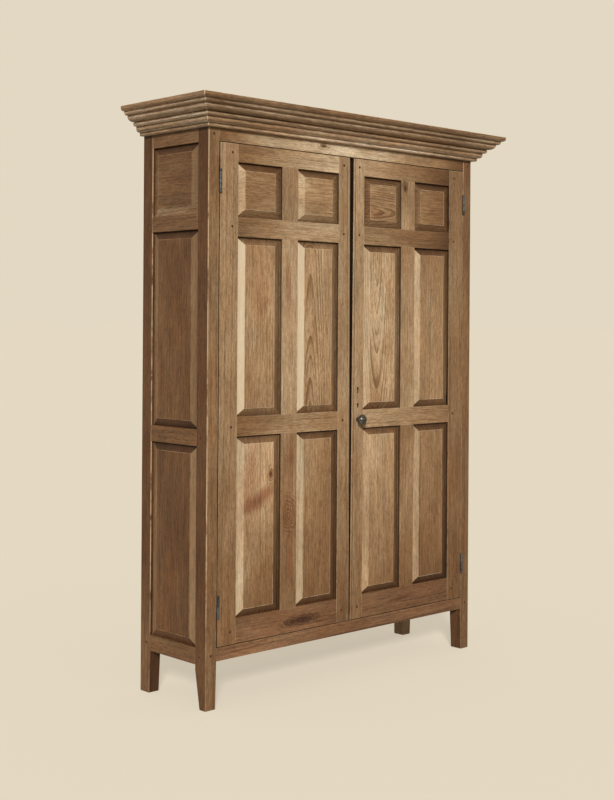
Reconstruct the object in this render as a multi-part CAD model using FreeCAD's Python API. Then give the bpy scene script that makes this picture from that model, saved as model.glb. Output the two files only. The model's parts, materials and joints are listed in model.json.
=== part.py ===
import FreeCAD
import Part
import math
import os

# Panelled two-door cupboard on post legs, with a stacked cornice.
# Millimetres, +Z up, the front faces -Y. The origin is on the floor, under the middle of the outline.

Vector = FreeCAD.Vector

# Case: overall sizes, posts and legs
CASE_WIDTH = 1320.0
CASE_DEPTH = 355.0
TOTAL_HEIGHT = 2000.0
POST_WIDTH = 46.0
FRONT_POST_DEPTH = 55.0
BACK_POST_DEPTH = 53.0
LEG_TAPER_WIDTH = 3.0
LEG_TAPER_DEPTH = 4.0
WORN_LEG_TAPER_DEPTH = 24.0
LEG_STRAIGHT = 15.0

# Front rails of the case
FRONT_RAIL_FLOOR_GAP = 157.0
FRONT_BOTTOM_RAIL_HEIGHT = 43.0
FRIEZE_HEIGHT = 42.0
FRONT_TOP_RAIL_THICKNESS = 27.0
FRONT_BOTTOM_RAIL_THICKNESS = 45.0

# Side walls of the case
SIDE_RAIL_FLOOR_GAP = 145.0
SIDE_RAIL_HEIGHT = 54.0
SIDE_TOP_RAIL_SHOW = 46.0
SIDE_LOWER_PANEL_HEIGHT = 662.0
SIDE_UPPER_PANEL_HEIGHT = 232.0
SIDE_RAIL_THICKNESS = 25.0

# Joinery: tenons, panel grooves and pegs
TENON_THICKNESS = 9.0
TENON_INSET = 8.0
TENON_GROOVE_MARGIN = 3.0
PLAIN_TENON_SHOULDER = 6.0
FRONT_TENON_LENGTH = 34.0
SIDE_TENON_LENGTH = 30.0
DOOR_TENON_LENGTH = 45.0
MUNTIN_TENON_LENGTH = 20.0
TENON_MARGIN = 3.0
MORTISE_END_GAP = 1.0
GROOVE_DEPTH = 11.0
PANEL_END_PLAY = 2.0
TONGUE_THICKNESS = 7.0
GROOVE_PLAY = 0.15
PEG_RADIUS = 4.0
PEG_PROUD = 0.6
PEG_TAIL = 2.0
DOOR_PEG_SETBACK = 25.0
FRONT_PEG_SETBACK = 24.0
SIDE_PEG_SETBACK = 20.0
BACK_PEG_SETBACK = 19.0
HIDDEN_PEG_DROP = 35.0

# Raised panels
PANEL_RECESS = 11.0
BEVEL_WIDTH = 32.0
END_BEVEL_WIDTH = 26.0
FIELD_RECESS = 0.5
FIELD_STEP = 1.2
SIGHT_GAP = 0.5

# Doors
DOOR_THICKNESS = 26.0
DOOR_CLEARANCE = 3.0
MEETING_GAP = 5.0
MEETING_EDGE_TAPER = 7.0
HINGE_STILE_WIDTH = 78.0
MEETING_STILE_WIDTH = 62.0
MUNTIN_WIDTH = 74.0
DOOR_TOP_RAIL_HEIGHT = 60.0
DOOR_MIDDLE_RAIL_HEIGHT = 65.0
DOOR_BOTTOM_RAIL_HEIGHT = 83.0
DOOR_LOWER_PANEL_HEIGHT = 603.0
DOOR_UPPER_PANEL_HEIGHT = 182.0
EDGE_BEAD_WIDTH = 10.0
QUIRK_WIDTH = 1.8
QUIRK_DEPTH = 2.2

# Cornice: rise and step-out of each member, from the lowest up
FILLET_RISE = 12.0
FILLET_STEP = 17.0
FILLET_ROUND = 4.0
BED_RISE = 19.0
BED_STEP = 15.0
BEAD_RISE = 15.0
BEAD_STEP = 13.0
OVOLO_RISE = 19.0
OVOLO_STEP = 24.0
UPPER_RISE = 13.0
UPPER_STEP = 14.0
CROWN_RISE = 17.0
CROWN_STEP = 14.0
MEMBER_QUIRK = 3.0
OVOLO_FACE_SHARE = 0.4
OVOLO_BULGE = 0.72

# Boards inside and behind
TOP_BOARD_THICKNESS = 15.0
FLOOR_THICKNESS = 18.0
FLOOR_DOOR_GAP = 2.0
BACK_BOARD_THICKNESS = 12.0
BACK_BOARD_COUNT = 6
BACK_RABBET_WIDTH = 12.0
BOARD_LAP = 8.0
BOARD_GAP = 0.8
BACK_RAIL_THICKNESS = 25.0
BACK_TOP_RAIL_HEIGHT = 60.0
SHELF_COUNT = 3
SHELF_THICKNESS = 20.0
SHELF_SETBACK = 62.0
CLEAT_WIDTH = 20.0
CLEAT_HEIGHT = 32.0
CLEAT_DOOR_GAP = 6.0
STOP_THICKNESS = 16.0
STOP_HEIGHT = 47.0
STOP_OVERLAP = 10.0

# Butt hinges
HINGE_LENGTH = 76.0
HINGE_TOP_INSET = 89.0
HINGE_BOTTOM_INSET = 95.0
LEAF_DEPTH = 20.0
LEAF_THICKNESS = 2.0
LEAF_GAP = 0.5
KNUCKLE_RADIUS = 4.5
KNUCKLE_STANDOFF = 0.4
KNUCKLE_COUNT = 5
KNUCKLE_PLAY = 0.1
PIN_RADIUS = 2.2
PIN_CLEARANCE = 0.05
HINGE_SCREW_COUNT = 3
SCREW_STAGGER = 2.5

# Screws
SCREW_HEAD_RADIUS = 3.2
SCREW_SHANK_RADIUS = 1.6
SCREW_LENGTH = 16.0
SCREW_PLAY = 0.05

# Knob and latch on the right door
KNOB_RADIUS = 18.0
KNOB_NECK_RADIUS = 8.5
KNOB_NECK_LENGTH = 6.0
KNOB_FLARE_LENGTH = 14.0
KNOB_RIM = 8.0
KNOB_DOME = 11.0
KNOB_STANDOFF = 0.3
KNOB_EDGE_DISTANCE = 34.0
FLARE_HOLLOW = 0.47
RIM_BULGE = 0.12
DOME_SHOULDER = 0.765
DOME_SHOULDER_REACH = 0.55
SPINDLE_RADIUS = 4.5
SPINDLE_CLEARANCE = 0.08
LATCH_WIDTH = 16.0
LATCH_THICKNESS = 5.0
LATCH_OVERLAP = 22.0
LATCH_BORE_PLAY = 0.05
INNER_CLEARANCE = 0.4
RIVET_RADIUS = 7.0
RIVET_THICKNESS = 3.0

# Rim lock and keyholes on the right door
KEYHOLE_RISE = 112.0
OLD_KEYHOLE_RISE = 54.0
KEYHOLE_RADIUS = 4.2
KEYHOLE_SLOT_WIDTH = 4.6
KEYHOLE_SLOT_LENGTH = 17.0
OLD_KEYHOLE_SLOT_LENGTH = 12.0
OLD_KEYHOLE_DEPTH = 14.0
LOCK_WIDTH = 45.0
LOCK_HEIGHT = 90.0
LOCK_DEPTH = 20.0
LOCK_WALL = 1.5
LOCK_BOLT_HEIGHT = 18.0
LOCK_BOLT_THICKNESS = 8.0
LOCK_BOLT_LENGTH = 34.0
LOCK_BOLT_RISE = 24.0
LOCK_BOLT_PLAY = 0.15
LOCK_SCREW_INSET = 6.5
LOCK_LUG_THICKNESS = 2.0
LOCK_EDGE_SETBACK = 0.3

# Sliding bolts on the left door
BOLT_RADIUS = 4.0
BOLT_CLEARANCE = 0.08
BOLT_TRAVEL = 20.0
BOLT_END_INSET = 18.0
BOLT_TAIL = 8.0
BOLT_HOLE_PLAY = 0.7
BOLT_PLATE_WIDTH = 24.0
BOLT_PLATE_THICKNESS = 2.0
BOLT_PLATE_MARGIN = 14.0
GUIDE_WIDTH = 18.0
GUIDE_LENGTH = 12.0
GUIDE_WALL = 1.6
BOLT_HANDLE_RADIUS = 3.5
BOLT_HANDLE_LENGTH = 9.0
BOLT_HANDLE_PLAY = 0.3
BOLT_SCREW_INSET = 5.0

# Places worked out from the sizes above
CORNICE_REACH = FILLET_STEP + BED_STEP + BEAD_STEP + OVOLO_STEP + UPPER_STEP + CROWN_STEP
CORNICE_HEIGHT = FILLET_RISE + BED_RISE + BEAD_RISE + OVOLO_RISE + UPPER_RISE + CROWN_RISE
CORNICE_BOTTOM = TOTAL_HEIGHT - CORNICE_HEIGHT
HALF_WIDTH = CASE_WIDTH / 2
HALF_OPENING = HALF_WIDTH - POST_WIDTH
FRONT_Y = (CORNICE_REACH - CASE_DEPTH) / 2
BACK_Y = FRONT_Y + CASE_DEPTH
POST_TOP = TOTAL_HEIGHT - TOP_BOARD_THICKNESS
LEG_TAPER_TOP = min(SIDE_RAIL_FLOOR_GAP, FRONT_RAIL_FLOOR_GAP) - LEG_STRAIGHT
TENON_VS = (TENON_INSET, TENON_INSET + TENON_THICKNESS)
TENON_SHOULDER = GROOVE_DEPTH + TENON_GROOVE_MARGIN
GROOVE_VS = (PANEL_RECESS, PANEL_RECESS + TONGUE_THICKNESS + 2 * GROOVE_PLAY)
TONGUE_REACH = GROOVE_DEPTH - PANEL_END_PLAY
OPENING_BOTTOM = FRONT_RAIL_FLOOR_GAP + FRONT_BOTTOM_RAIL_HEIGHT
OPENING_TOP = CORNICE_BOTTOM - FRIEZE_HEIGHT
FLOOR_TOP = OPENING_BOTTOM + FLOOR_THICKNESS
BACK_BOARD_V = CASE_DEPTH - BACK_BOARD_THICKNESS
BACK_TENON_LENGTH = POST_WIDTH - TENON_VS[1] - TENON_MARGIN
SHELF_PITCH = (POST_TOP - FLOOR_TOP) / (SHELF_COUNT + 1)
STOP_V = FRONT_TOP_RAIL_THICKNESS

DOOR_BOTTOM = OPENING_BOTTOM + DOOR_CLEARANCE
DOOR_TOP = OPENING_TOP - DOOR_CLEARANCE
DOOR_WIDTH = HALF_OPENING - DOOR_CLEARANCE - MEETING_GAP / 2
HINGE_EDGE_X = HALF_OPENING - DOOR_CLEARANCE
SHOULDER_U = DOOR_WIDTH - MEETING_STILE_WIDTH
PANEL_WIDTH = (SHOULDER_U - HINGE_STILE_WIDTH - MUNTIN_WIDTH) / 2
BOTTOM_RAIL_ZS = (DOOR_BOTTOM, DOOR_BOTTOM + DOOR_BOTTOM_RAIL_HEIGHT)
LOCK_RAIL_BOTTOM = BOTTOM_RAIL_ZS[1] + DOOR_LOWER_PANEL_HEIGHT
LOCK_RAIL_ZS = (LOCK_RAIL_BOTTOM, LOCK_RAIL_BOTTOM + DOOR_MIDDLE_RAIL_HEIGHT)
TOP_RAIL_ZS = (DOOR_TOP - DOOR_TOP_RAIL_HEIGHT, DOOR_TOP)
FRIEZE_RAIL_TOP = TOP_RAIL_ZS[0] - DOOR_UPPER_PANEL_HEIGHT
FRIEZE_RAIL_ZS = (FRIEZE_RAIL_TOP - DOOR_MIDDLE_RAIL_HEIGHT, FRIEZE_RAIL_TOP)
DOOR_RAILS = {
    "top_rail": TOP_RAIL_ZS,
    "frieze_rail": FRIEZE_RAIL_ZS,
    "lock_rail": LOCK_RAIL_ZS,
    "bottom_rail": BOTTOM_RAIL_ZS,
}
DOOR_PANEL_ROWS = {
    "upper": (FRIEZE_RAIL_ZS[1], TOP_RAIL_ZS[0]),
    "middle": (LOCK_RAIL_ZS[1], FRIEZE_RAIL_ZS[0]),
    "lower": (BOTTOM_RAIL_ZS[1], LOCK_RAIL_ZS[0]),
}
MUNTIN_US = (HINGE_STILE_WIDTH + PANEL_WIDTH, HINGE_STILE_WIDTH + PANEL_WIDTH + MUNTIN_WIDTH)
DOOR_PANEL_COLUMNS = ((HINGE_STILE_WIDTH, MUNTIN_US[0]), (MUNTIN_US[1], SHOULDER_U))

SIDE_BOTTOM_RAIL_ZS = (SIDE_RAIL_FLOOR_GAP, SIDE_RAIL_FLOOR_GAP + SIDE_RAIL_HEIGHT)
SIDE_MIDDLE_RAIL_BOTTOM = SIDE_BOTTOM_RAIL_ZS[1] + SIDE_LOWER_PANEL_HEIGHT
SIDE_MIDDLE_RAIL_ZS = (SIDE_MIDDLE_RAIL_BOTTOM, SIDE_MIDDLE_RAIL_BOTTOM + SIDE_RAIL_HEIGHT)
SIDE_TOP_RAIL_ZS = (CORNICE_BOTTOM - SIDE_TOP_RAIL_SHOW, POST_TOP)
SIDE_FRIEZE_RAIL_TOP = SIDE_TOP_RAIL_ZS[0] - SIDE_UPPER_PANEL_HEIGHT
SIDE_FRIEZE_RAIL_ZS = (SIDE_FRIEZE_RAIL_TOP - SIDE_RAIL_HEIGHT, SIDE_FRIEZE_RAIL_TOP)
SIDE_RAILS = (SIDE_TOP_RAIL_ZS, SIDE_FRIEZE_RAIL_ZS, SIDE_MIDDLE_RAIL_ZS, SIDE_BOTTOM_RAIL_ZS)
SIDE_PANEL_ROWS = {
    "upper": (SIDE_FRIEZE_RAIL_ZS[1], SIDE_TOP_RAIL_ZS[0]),
    "middle": (SIDE_MIDDLE_RAIL_ZS[1], SIDE_FRIEZE_RAIL_ZS[0]),
    "lower": (SIDE_BOTTOM_RAIL_ZS[1], SIDE_MIDDLE_RAIL_ZS[0]),
}
SIDE_OPENING_US = (FRONT_POST_DEPTH, CASE_DEPTH - BACK_POST_DEPTH)

FRONT_TOP_RAIL_ZS = (OPENING_TOP, POST_TOP)
FRONT_BOTTOM_RAIL_ZS = (FRONT_RAIL_FLOOR_GAP, OPENING_BOTTOM)
BACK_TOP_RAIL_ZS = (POST_TOP - BACK_TOP_RAIL_HEIGHT, POST_TOP)
BACK_BOTTOM_RAIL_ZS = FRONT_BOTTOM_RAIL_ZS
BACK_RAIL_VS = (BACK_BOARD_V - BACK_RAIL_THICKNESS, BACK_BOARD_V)
BACK_TENON_VS = (BACK_BOARD_V - TENON_INSET - TENON_THICKNESS, BACK_BOARD_V - TENON_INSET)

PIN_U = -DOOR_CLEARANCE / 2
PIN_V = -(KNUCKLE_RADIUS + KNUCKLE_STANDOFF)
HINGE_BOTTOMS = (
    DOOR_TOP - HINGE_TOP_INSET - HINGE_LENGTH,
    DOOR_BOTTOM + HINGE_BOTTOM_INSET,
)

KNOB_U = DOOR_WIDTH - KNOB_EDGE_DISTANCE
KNOB_Z = sum(LOCK_RAIL_ZS) / 2
KEYHOLE_Z = KNOB_Z + KEYHOLE_RISE
OLD_KEYHOLE_Z = KNOB_Z + OLD_KEYHOLE_RISE
LATCH_REACH = DOOR_WIDTH - KNOB_U + MEETING_GAP + MEETING_EDGE_TAPER + LATCH_OVERLAP
LOCK_TOP_SHARE = (KEYHOLE_Z + LOCK_HEIGHT / 2 - DOOR_BOTTOM) / (DOOR_TOP - DOOR_BOTTOM)
LOCK_EDGE_U = DOOR_WIDTH - MEETING_EDGE_TAPER * LOCK_TOP_SHARE - LOCK_EDGE_SETBACK
LOCK_US = (LOCK_EDGE_U - LOCK_WIDTH, LOCK_EDGE_U)
LOCK_ZS = (KEYHOLE_Z - LOCK_HEIGHT / 2, KEYHOLE_Z + LOCK_HEIGHT / 2)
LOCK_BOLT_Z = KEYHOLE_Z + LOCK_BOLT_RISE
LOCK_BOLT_ZS = (LOCK_BOLT_Z - LOCK_BOLT_HEIGHT / 2, LOCK_BOLT_Z + LOCK_BOLT_HEIGHT / 2)
LOCK_BOLT_V = DOOR_THICKNESS + INNER_CLEARANCE
LOCK_BOLT_VS = (LOCK_BOLT_V, LOCK_BOLT_V + LOCK_BOLT_THICKNESS)

BOLT_U = DOOR_WIDTH - MEETING_EDGE_TAPER - MEETING_STILE_WIDTH / 2
BOLT_BORE = BOLT_RADIUS + BOLT_CLEARANCE
GUIDE_DEPTH = 2 * (BOLT_BORE + GUIDE_WALL)
GUIDE_V = DOOR_THICKNESS + BOLT_PLATE_THICKNESS
BOLT_V = GUIDE_V + GUIDE_DEPTH / 2
GUIDE_PITCH = GUIDE_LENGTH + BOLT_TRAVEL + 2 * (BOLT_HANDLE_RADIUS + BOLT_HANDLE_PLAY)
FIRST_GUIDE = BOLT_END_INSET + BOLT_PLATE_MARGIN
PLATE_SPAN = (BOLT_END_INSET, FIRST_GUIDE + GUIDE_PITCH + GUIDE_LENGTH + BOLT_PLATE_MARGIN)
BOLT_SPAN = (BOLT_END_INSET, PLATE_SPAN[1] + BOLT_TAIL)

SIDES = {"left": -1, "right": 1}


# Placing helpers: u runs along a face, v inward from it, z up
def front_place(x, v, z):
    """Point on the case's front: x across, v inward from the front plane."""
    return Vector(x, FRONT_Y + v, z)


def wall_place(side):
    """Placing function of a side wall: u from the front backwards, v inward from the outer face."""

    def place(u, v, z):
        return Vector(side * (HALF_WIDTH - v), FRONT_Y + u, z)

    return place


def door_place(side):
    """Placing function of a door: u from its hinge edge, v inward from its front face."""

    def place(u, v, z):
        return Vector(side * (HINGE_EDGE_X - u), FRONT_Y + v, z)

    return place


def block(place, us, vs, zs):
    """Box between two opposite corners."""
    a = place(us[0], vs[0], zs[0])
    b = place(us[1], vs[1], zs[1])
    corner = Vector(min(a.x, b.x), min(a.y, b.y), min(a.z, b.z))
    return Part.makeBox(abs(a.x - b.x), abs(a.y - b.y), abs(a.z - b.z), corner)


def rod(start, end, radius):
    """Cylinder from one point to another."""
    axis = end - start
    return Part.makeCylinder(radius, axis.Length, start, axis)


def rectangle(corners):
    """Closed wire through four corners."""
    return Part.makePolygon(list(corners) + [corners[0]])


def upright_rectangle(place, us, v, zs):
    """Rectangle in a face's own plane, at depth v."""
    return rectangle(
        [place(us[0], v, zs[0]), place(us[1], v, zs[0]), place(us[1], v, zs[1]), place(us[0], v, zs[1])]
    )


def level_rectangle(place, us, vs, z):
    """Horizontal rectangle at height z."""
    return rectangle(
        [place(us[0], vs[0], z), place(us[1], vs[0], z), place(us[1], vs[1], z), place(us[0], vs[1], z)]
    )


def slab(place, outline, vs):
    """Flat piece with a polygon outline of (u, z) points, between two depths."""
    wire = Part.makePolygon([place(u, vs[0], z) for u, z in outline + outline[:1]])
    reach = place(0, vs[1], 0) - place(0, vs[0], 0)
    return Part.Face(wire).extrude(reach)


def grown(span, amount):
    """A (low, high) span made longer by an amount at each end."""
    return (span[0] - amount, span[1] + amount)


def join(shapes):
    """One clean solid from shapes that touch or overlap."""
    return shapes[0].fuse(shapes[1:]).removeSplitter()


def screw(start, direction, head_depth, play=0.0):
    """Countersunk wood screw; start is the middle of its flush head."""
    head = Part.makeCone(SCREW_HEAD_RADIUS + play, SCREW_SHANK_RADIUS + play, head_depth, start, direction)
    shank = Part.makeCylinder(SCREW_SHANK_RADIUS + play, SCREW_LENGTH, start, direction)
    return join([head, shank])


# Panels and the grooves that hold them
def raised_panel(place, us, zs):
    """Panel with a tongue all round, sloping bevels and a raised flat field."""
    tongue_front = PANEL_RECESS + GROOVE_PLAY
    tongue = block(
        place,
        grown(us, TONGUE_REACH),
        (tongue_front, tongue_front + TONGUE_THICKNESS),
        grown(zs, TONGUE_REACH),
    )
    foot = upright_rectangle(place, grown(us, -SIGHT_GAP), tongue_front, grown(zs, -SIGHT_GAP))
    field_us = grown(us, -BEVEL_WIDTH)
    field_zs = grown(zs, -END_BEVEL_WIDTH)
    brow = upright_rectangle(place, field_us, FIELD_RECESS + FIELD_STEP, field_zs)
    bevel = Part.makeLoft([foot, brow], True, True)
    field = block(place, field_us, (FIELD_RECESS, FIELD_RECESS + FIELD_STEP), field_zs)
    return join([tongue, bevel, field])


def panel_groove(place, us, zs):
    """Space that a panel's tongue takes in the frame round its opening."""
    return block(place, grown(us, GROOVE_DEPTH), GROOVE_VS, grown(zs, GROOVE_DEPTH))


# Hinges
def hinge(place, bottom):
    """One butt hinge: leaves, pin, screws, and the cuts it needs in the post and the stile."""
    zs = (bottom, bottom + HINGE_LENGTH)
    pitch = HINGE_LENGTH / KNUCKLE_COUNT
    pin = rod(place(PIN_U, PIN_V, zs[0]), place(PIN_U, PIN_V, zs[1]), PIN_RADIUS)
    bore = rod(place(PIN_U, PIN_V, zs[0]), place(PIN_U, PIN_V, zs[1]), PIN_RADIUS + PIN_CLEARANCE)
    pieces = {"pin": pin}
    for owner, outward, first in (("case", -1, 0), ("door", 1, 1)):
        face = PIN_U + outward * LEAF_GAP / 2
        back = face + outward * LEAF_THICKNESS
        plate = block(place, (face, back), (0, LEAF_DEPTH), zs)
        knuckles = []
        for index in range(first, KNUCKLE_COUNT, 2):
            low = bottom + index * pitch + KNUCKLE_PLAY
            high = bottom + (index + 1) * pitch - KNUCKLE_PLAY
            knuckles.append(block(place, (face, back), (PIN_V, 0), (low, high)))
            knuckles.append(rod(place(PIN_U, PIN_V, low), place(PIN_U, PIN_V, high), KNUCKLE_RADIUS))
        direction = place(outward, 0, 0) - place(0, 0, 0)
        screws = []
        screw_holes = []
        for index in range(HINGE_SCREW_COUNT):
            stagger = SCREW_STAGGER if index % 2 else -SCREW_STAGGER
            height = bottom + HINGE_LENGTH * (index + 0.5) / HINGE_SCREW_COUNT
            start = place(face, LEAF_DEPTH / 2 + stagger, height)
            screws.append(screw(start, direction, LEAF_THICKNESS))
            screw_holes.append(screw(start, direction, LEAF_THICKNESS, SCREW_PLAY))
        pieces[owner + "_leaf"] = join([plate] + knuckles).cut([bore] + screw_holes)
        pieces[owner + "_screws"] = screws
        pieces[owner + "_cuts"] = [plate] + screw_holes
    return pieces


# Doors
def door_rail(place, zs, grooves):
    """Rail with a tenon at each end, and the mortises it needs in the stiles."""
    tenon_zs = grown(zs, -TENON_SHOULDER)
    us = (HINGE_STILE_WIDTH, SHOULDER_U)
    body = block(place, us, (0, DOOR_THICKNESS), zs)
    tenon = block(place, grown(us, DOOR_TENON_LENGTH), TENON_VS, tenon_zs)
    mortise = block(place, grown(us, DOOR_TENON_LENGTH + MORTISE_END_GAP), TENON_VS, tenon_zs)
    return join([body, tenon]).cut(grooves), mortise


def door_muntin(place, zs, grooves):
    """Upright between two rails, with the mortises it needs in them."""
    tenon_us = grown(MUNTIN_US, -TENON_SHOULDER)
    body = block(place, MUNTIN_US, (0, DOOR_THICKNESS), zs)
    tenon = block(place, tenon_us, TENON_VS, grown(zs, MUNTIN_TENON_LENGTH))
    mortise = block(place, tenon_us, TENON_VS, grown(zs, MUNTIN_TENON_LENGTH + MORTISE_END_GAP))
    return join([body, tenon]).cut(grooves), mortise


def meeting_stile_blank(place):
    """Meeting stile before its mortises: edge planed to a slight taper, with a bead along it."""
    bottom_edge = DOOR_WIDTH
    top_edge = DOOR_WIDTH - MEETING_EDGE_TAPER
    outline = [
        (SHOULDER_U, DOOR_BOTTOM),
        (bottom_edge, DOOR_BOTTOM),
        (top_edge, DOOR_TOP),
        (SHOULDER_U, DOOR_TOP),
    ]
    quirk = [
        (bottom_edge - EDGE_BEAD_WIDTH - QUIRK_WIDTH, DOOR_BOTTOM),
        (bottom_edge - EDGE_BEAD_WIDTH, DOOR_BOTTOM),
        (top_edge - EDGE_BEAD_WIDTH, DOOR_TOP),
        (top_edge - EDGE_BEAD_WIDTH - QUIRK_WIDTH, DOOR_TOP),
    ]
    return slab(place, outline, (0, DOOR_THICKNESS)).cut(slab(place, quirk, (0, QUIRK_DEPTH)))


def door_peg_points(with_knob):
    """(u, z) of the pegs; the knob's spindle takes the place of one of them."""
    points = []
    for name, zs in DOOR_RAILS.items():
        middle = sum(zs) / 2
        points.append((HINGE_STILE_WIDTH - DOOR_PEG_SETBACK, middle))
        if not (with_knob and name == "lock_rail"):
            points.append((SHOULDER_U + DOOR_PEG_SETBACK, middle))
    return points


def keyhole(place, height, depth, slot_length):
    """Round-headed keyhole with a slot below."""
    head = rod(place(KNOB_U, 0, height), place(KNOB_U, depth, height), KEYHOLE_RADIUS)
    slot_us = (KNOB_U - KEYHOLE_SLOT_WIDTH / 2, KNOB_U + KEYHOLE_SLOT_WIDTH / 2)
    slot = block(place, slot_us, (0, depth), (height - slot_length, height))
    return join([head, slot])


def bolt_z(direction, distance):
    """Height at a distance in from the door's top (direction 1) or bottom (-1) edge."""
    return DOOR_TOP - distance if direction > 0 else DOOR_BOTTOM + distance


def sliding_bolt(place, direction):
    """Plate with two guides, the round bolt in them with its handle, and the plate's screws."""

    def span(distances):
        return tuple(bolt_z(direction, distance) for distance in distances)

    plate_us = (BOLT_U - BOLT_PLATE_WIDTH / 2, BOLT_U + BOLT_PLATE_WIDTH / 2)
    guide_us = (BOLT_U - GUIDE_WIDTH / 2, BOLT_U + GUIDE_WIDTH / 2)
    plate_vs = (DOOR_THICKNESS, GUIDE_V)
    pieces = [block(place, plate_us, plate_vs, span(PLATE_SPAN))]
    for first in (FIRST_GUIDE, FIRST_GUIDE + GUIDE_PITCH):
        guide_zs = span((first, first + GUIDE_LENGTH))
        pieces.append(block(place, guide_us, (GUIDE_V, GUIDE_V + GUIDE_DEPTH), guide_zs))
    bolt_zs = span(BOLT_SPAN)
    ends = (place(BOLT_U, BOLT_V, bolt_zs[0]), place(BOLT_U, BOLT_V, bolt_zs[1]))
    bore = rod(ends[0], ends[1], BOLT_BORE)
    screws = []
    screw_holes = []
    inward = Vector(0, -1, 0)
    for u in grown(plate_us, -BOLT_SCREW_INSET):
        for z in span(grown(PLATE_SPAN, -BOLT_SCREW_INSET)):
            start = place(u, GUIDE_V, z)
            screws.append(screw(start, inward, BOLT_PLATE_THICKNESS))
            screw_holes.append(screw(start, inward, BOLT_PLATE_THICKNESS, SCREW_PLAY))
    plate = join(pieces).cut([bore] + screw_holes)
    handle_z = bolt_z(direction, FIRST_GUIDE + GUIDE_PITCH - BOLT_HANDLE_RADIUS - BOLT_HANDLE_PLAY)
    handle_end = BOLT_V + BOLT_RADIUS + BOLT_HANDLE_LENGTH
    handle = rod(place(BOLT_U, BOLT_V, handle_z), place(BOLT_U, handle_end, handle_z), BOLT_HANDLE_RADIUS)
    bolt = join([rod(ends[0], ends[1], BOLT_RADIUS), handle])
    return plate, bolt, screws, screw_holes


def rim_lock(place):
    """Lock case open towards the door, its sliding bolt, and the case's screws."""
    back_v = DOOR_THICKNESS + LOCK_DEPTH
    case = block(place, LOCK_US, (DOOR_THICKNESS, back_v), LOCK_ZS)
    cavity = block(
        place, grown(LOCK_US, -LOCK_WALL), (DOOR_THICKNESS, back_v - LOCK_WALL), grown(LOCK_ZS, -LOCK_WALL)
    )
    bolt_us = (LOCK_EDGE_U - LOCK_BOLT_LENGTH, LOCK_EDGE_U)
    guide = block(place, bolt_us, (LOCK_BOLT_VS[1] + LOCK_BOLT_PLAY, back_v), LOCK_BOLT_ZS)
    slot = block(
        place,
        (LOCK_EDGE_U - LOCK_WALL, LOCK_EDGE_U),
        (DOOR_THICKNESS, LOCK_BOLT_VS[1] + LOCK_BOLT_PLAY),
        grown(LOCK_BOLT_ZS, LOCK_BOLT_PLAY),
    )
    bolt = block(place, bolt_us, LOCK_BOLT_VS, LOCK_BOLT_ZS)
    screws = []
    screw_holes = []
    bosses = []
    inward = Vector(0, -1, 0)
    boss_radius = SCREW_HEAD_RADIUS + LOCK_WALL
    for u in grown(LOCK_US, -LOCK_SCREW_INSET):
        for z in grown(LOCK_ZS, -LOCK_SCREW_INSET):
            bosses.append(rod(place(u, DOOR_THICKNESS, z), place(u, back_v, z), boss_radius))
            start = place(u, DOOR_THICKNESS + LOCK_LUG_THICKNESS, z)
            access = rod(start, place(u, back_v, z), SCREW_HEAD_RADIUS + SCREW_PLAY)
            screws.append(screw(start, inward, LOCK_LUG_THICKNESS))
            hole = screw(start, inward, LOCK_LUG_THICKNESS, SCREW_PLAY)
            screw_holes.append(join([hole, access]))
    shell = join([case.cut(cavity), guide] + bosses).cut([slot] + screw_holes)
    return shell, bolt, screws, screw_holes


def turned_knob(place):
    """Iron knob with its spindle through the stile, riveted over inside."""
    latch_back = DOOR_THICKNESS + INNER_CLEARANCE + LATCH_THICKNESS
    neck_end = -KNOB_STANDOFF - KNOB_NECK_LENGTH
    flare_end = neck_end - KNOB_FLARE_LENGTH
    rim_end = flare_end - KNOB_RIM
    dome_end = rim_end - KNOB_DOME
    centre = place(KNOB_U, 0, KNOB_Z)

    def at(radius, v):
        return Vector(centre.x + radius, FRONT_Y + v, KNOB_Z)

    flare_middle = at(
        KNOB_NECK_RADIUS + FLARE_HOLLOW * (KNOB_RADIUS - KNOB_NECK_RADIUS),
        neck_end - (1 - FLARE_HOLLOW) * KNOB_FLARE_LENGTH,
    )
    rim_middle = at(KNOB_RADIUS + RIM_BULGE * KNOB_RIM, (flare_end + rim_end) / 2)
    dome_middle = at(DOME_SHOULDER_REACH * KNOB_RADIUS, rim_end - DOME_SHOULDER * KNOB_DOME)
    edges = [
        Part.Arc(at(0, dome_end), dome_middle, at(KNOB_RADIUS, rim_end)).toShape(),
        Part.Arc(at(KNOB_RADIUS, rim_end), rim_middle, at(KNOB_RADIUS, flare_end)).toShape(),
        Part.Arc(at(KNOB_RADIUS, flare_end), flare_middle, at(KNOB_NECK_RADIUS, neck_end)).toShape(),
    ]
    corners = [
        at(KNOB_NECK_RADIUS, neck_end),
        at(KNOB_NECK_RADIUS, -KNOB_STANDOFF),
        at(SPINDLE_RADIUS, -KNOB_STANDOFF),
        at(SPINDLE_RADIUS, latch_back),
        at(RIVET_RADIUS, latch_back),
        at(RIVET_RADIUS, latch_back + RIVET_THICKNESS),
        at(0, latch_back + RIVET_THICKNESS),
        at(0, dome_end),
    ]
    edges += [Part.makeLine(a, b) for a, b in zip(corners, corners[1:])]
    return Part.Face(Part.Wire(edges)).revolve(centre, Vector(0, 1, 0), 360)


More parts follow.
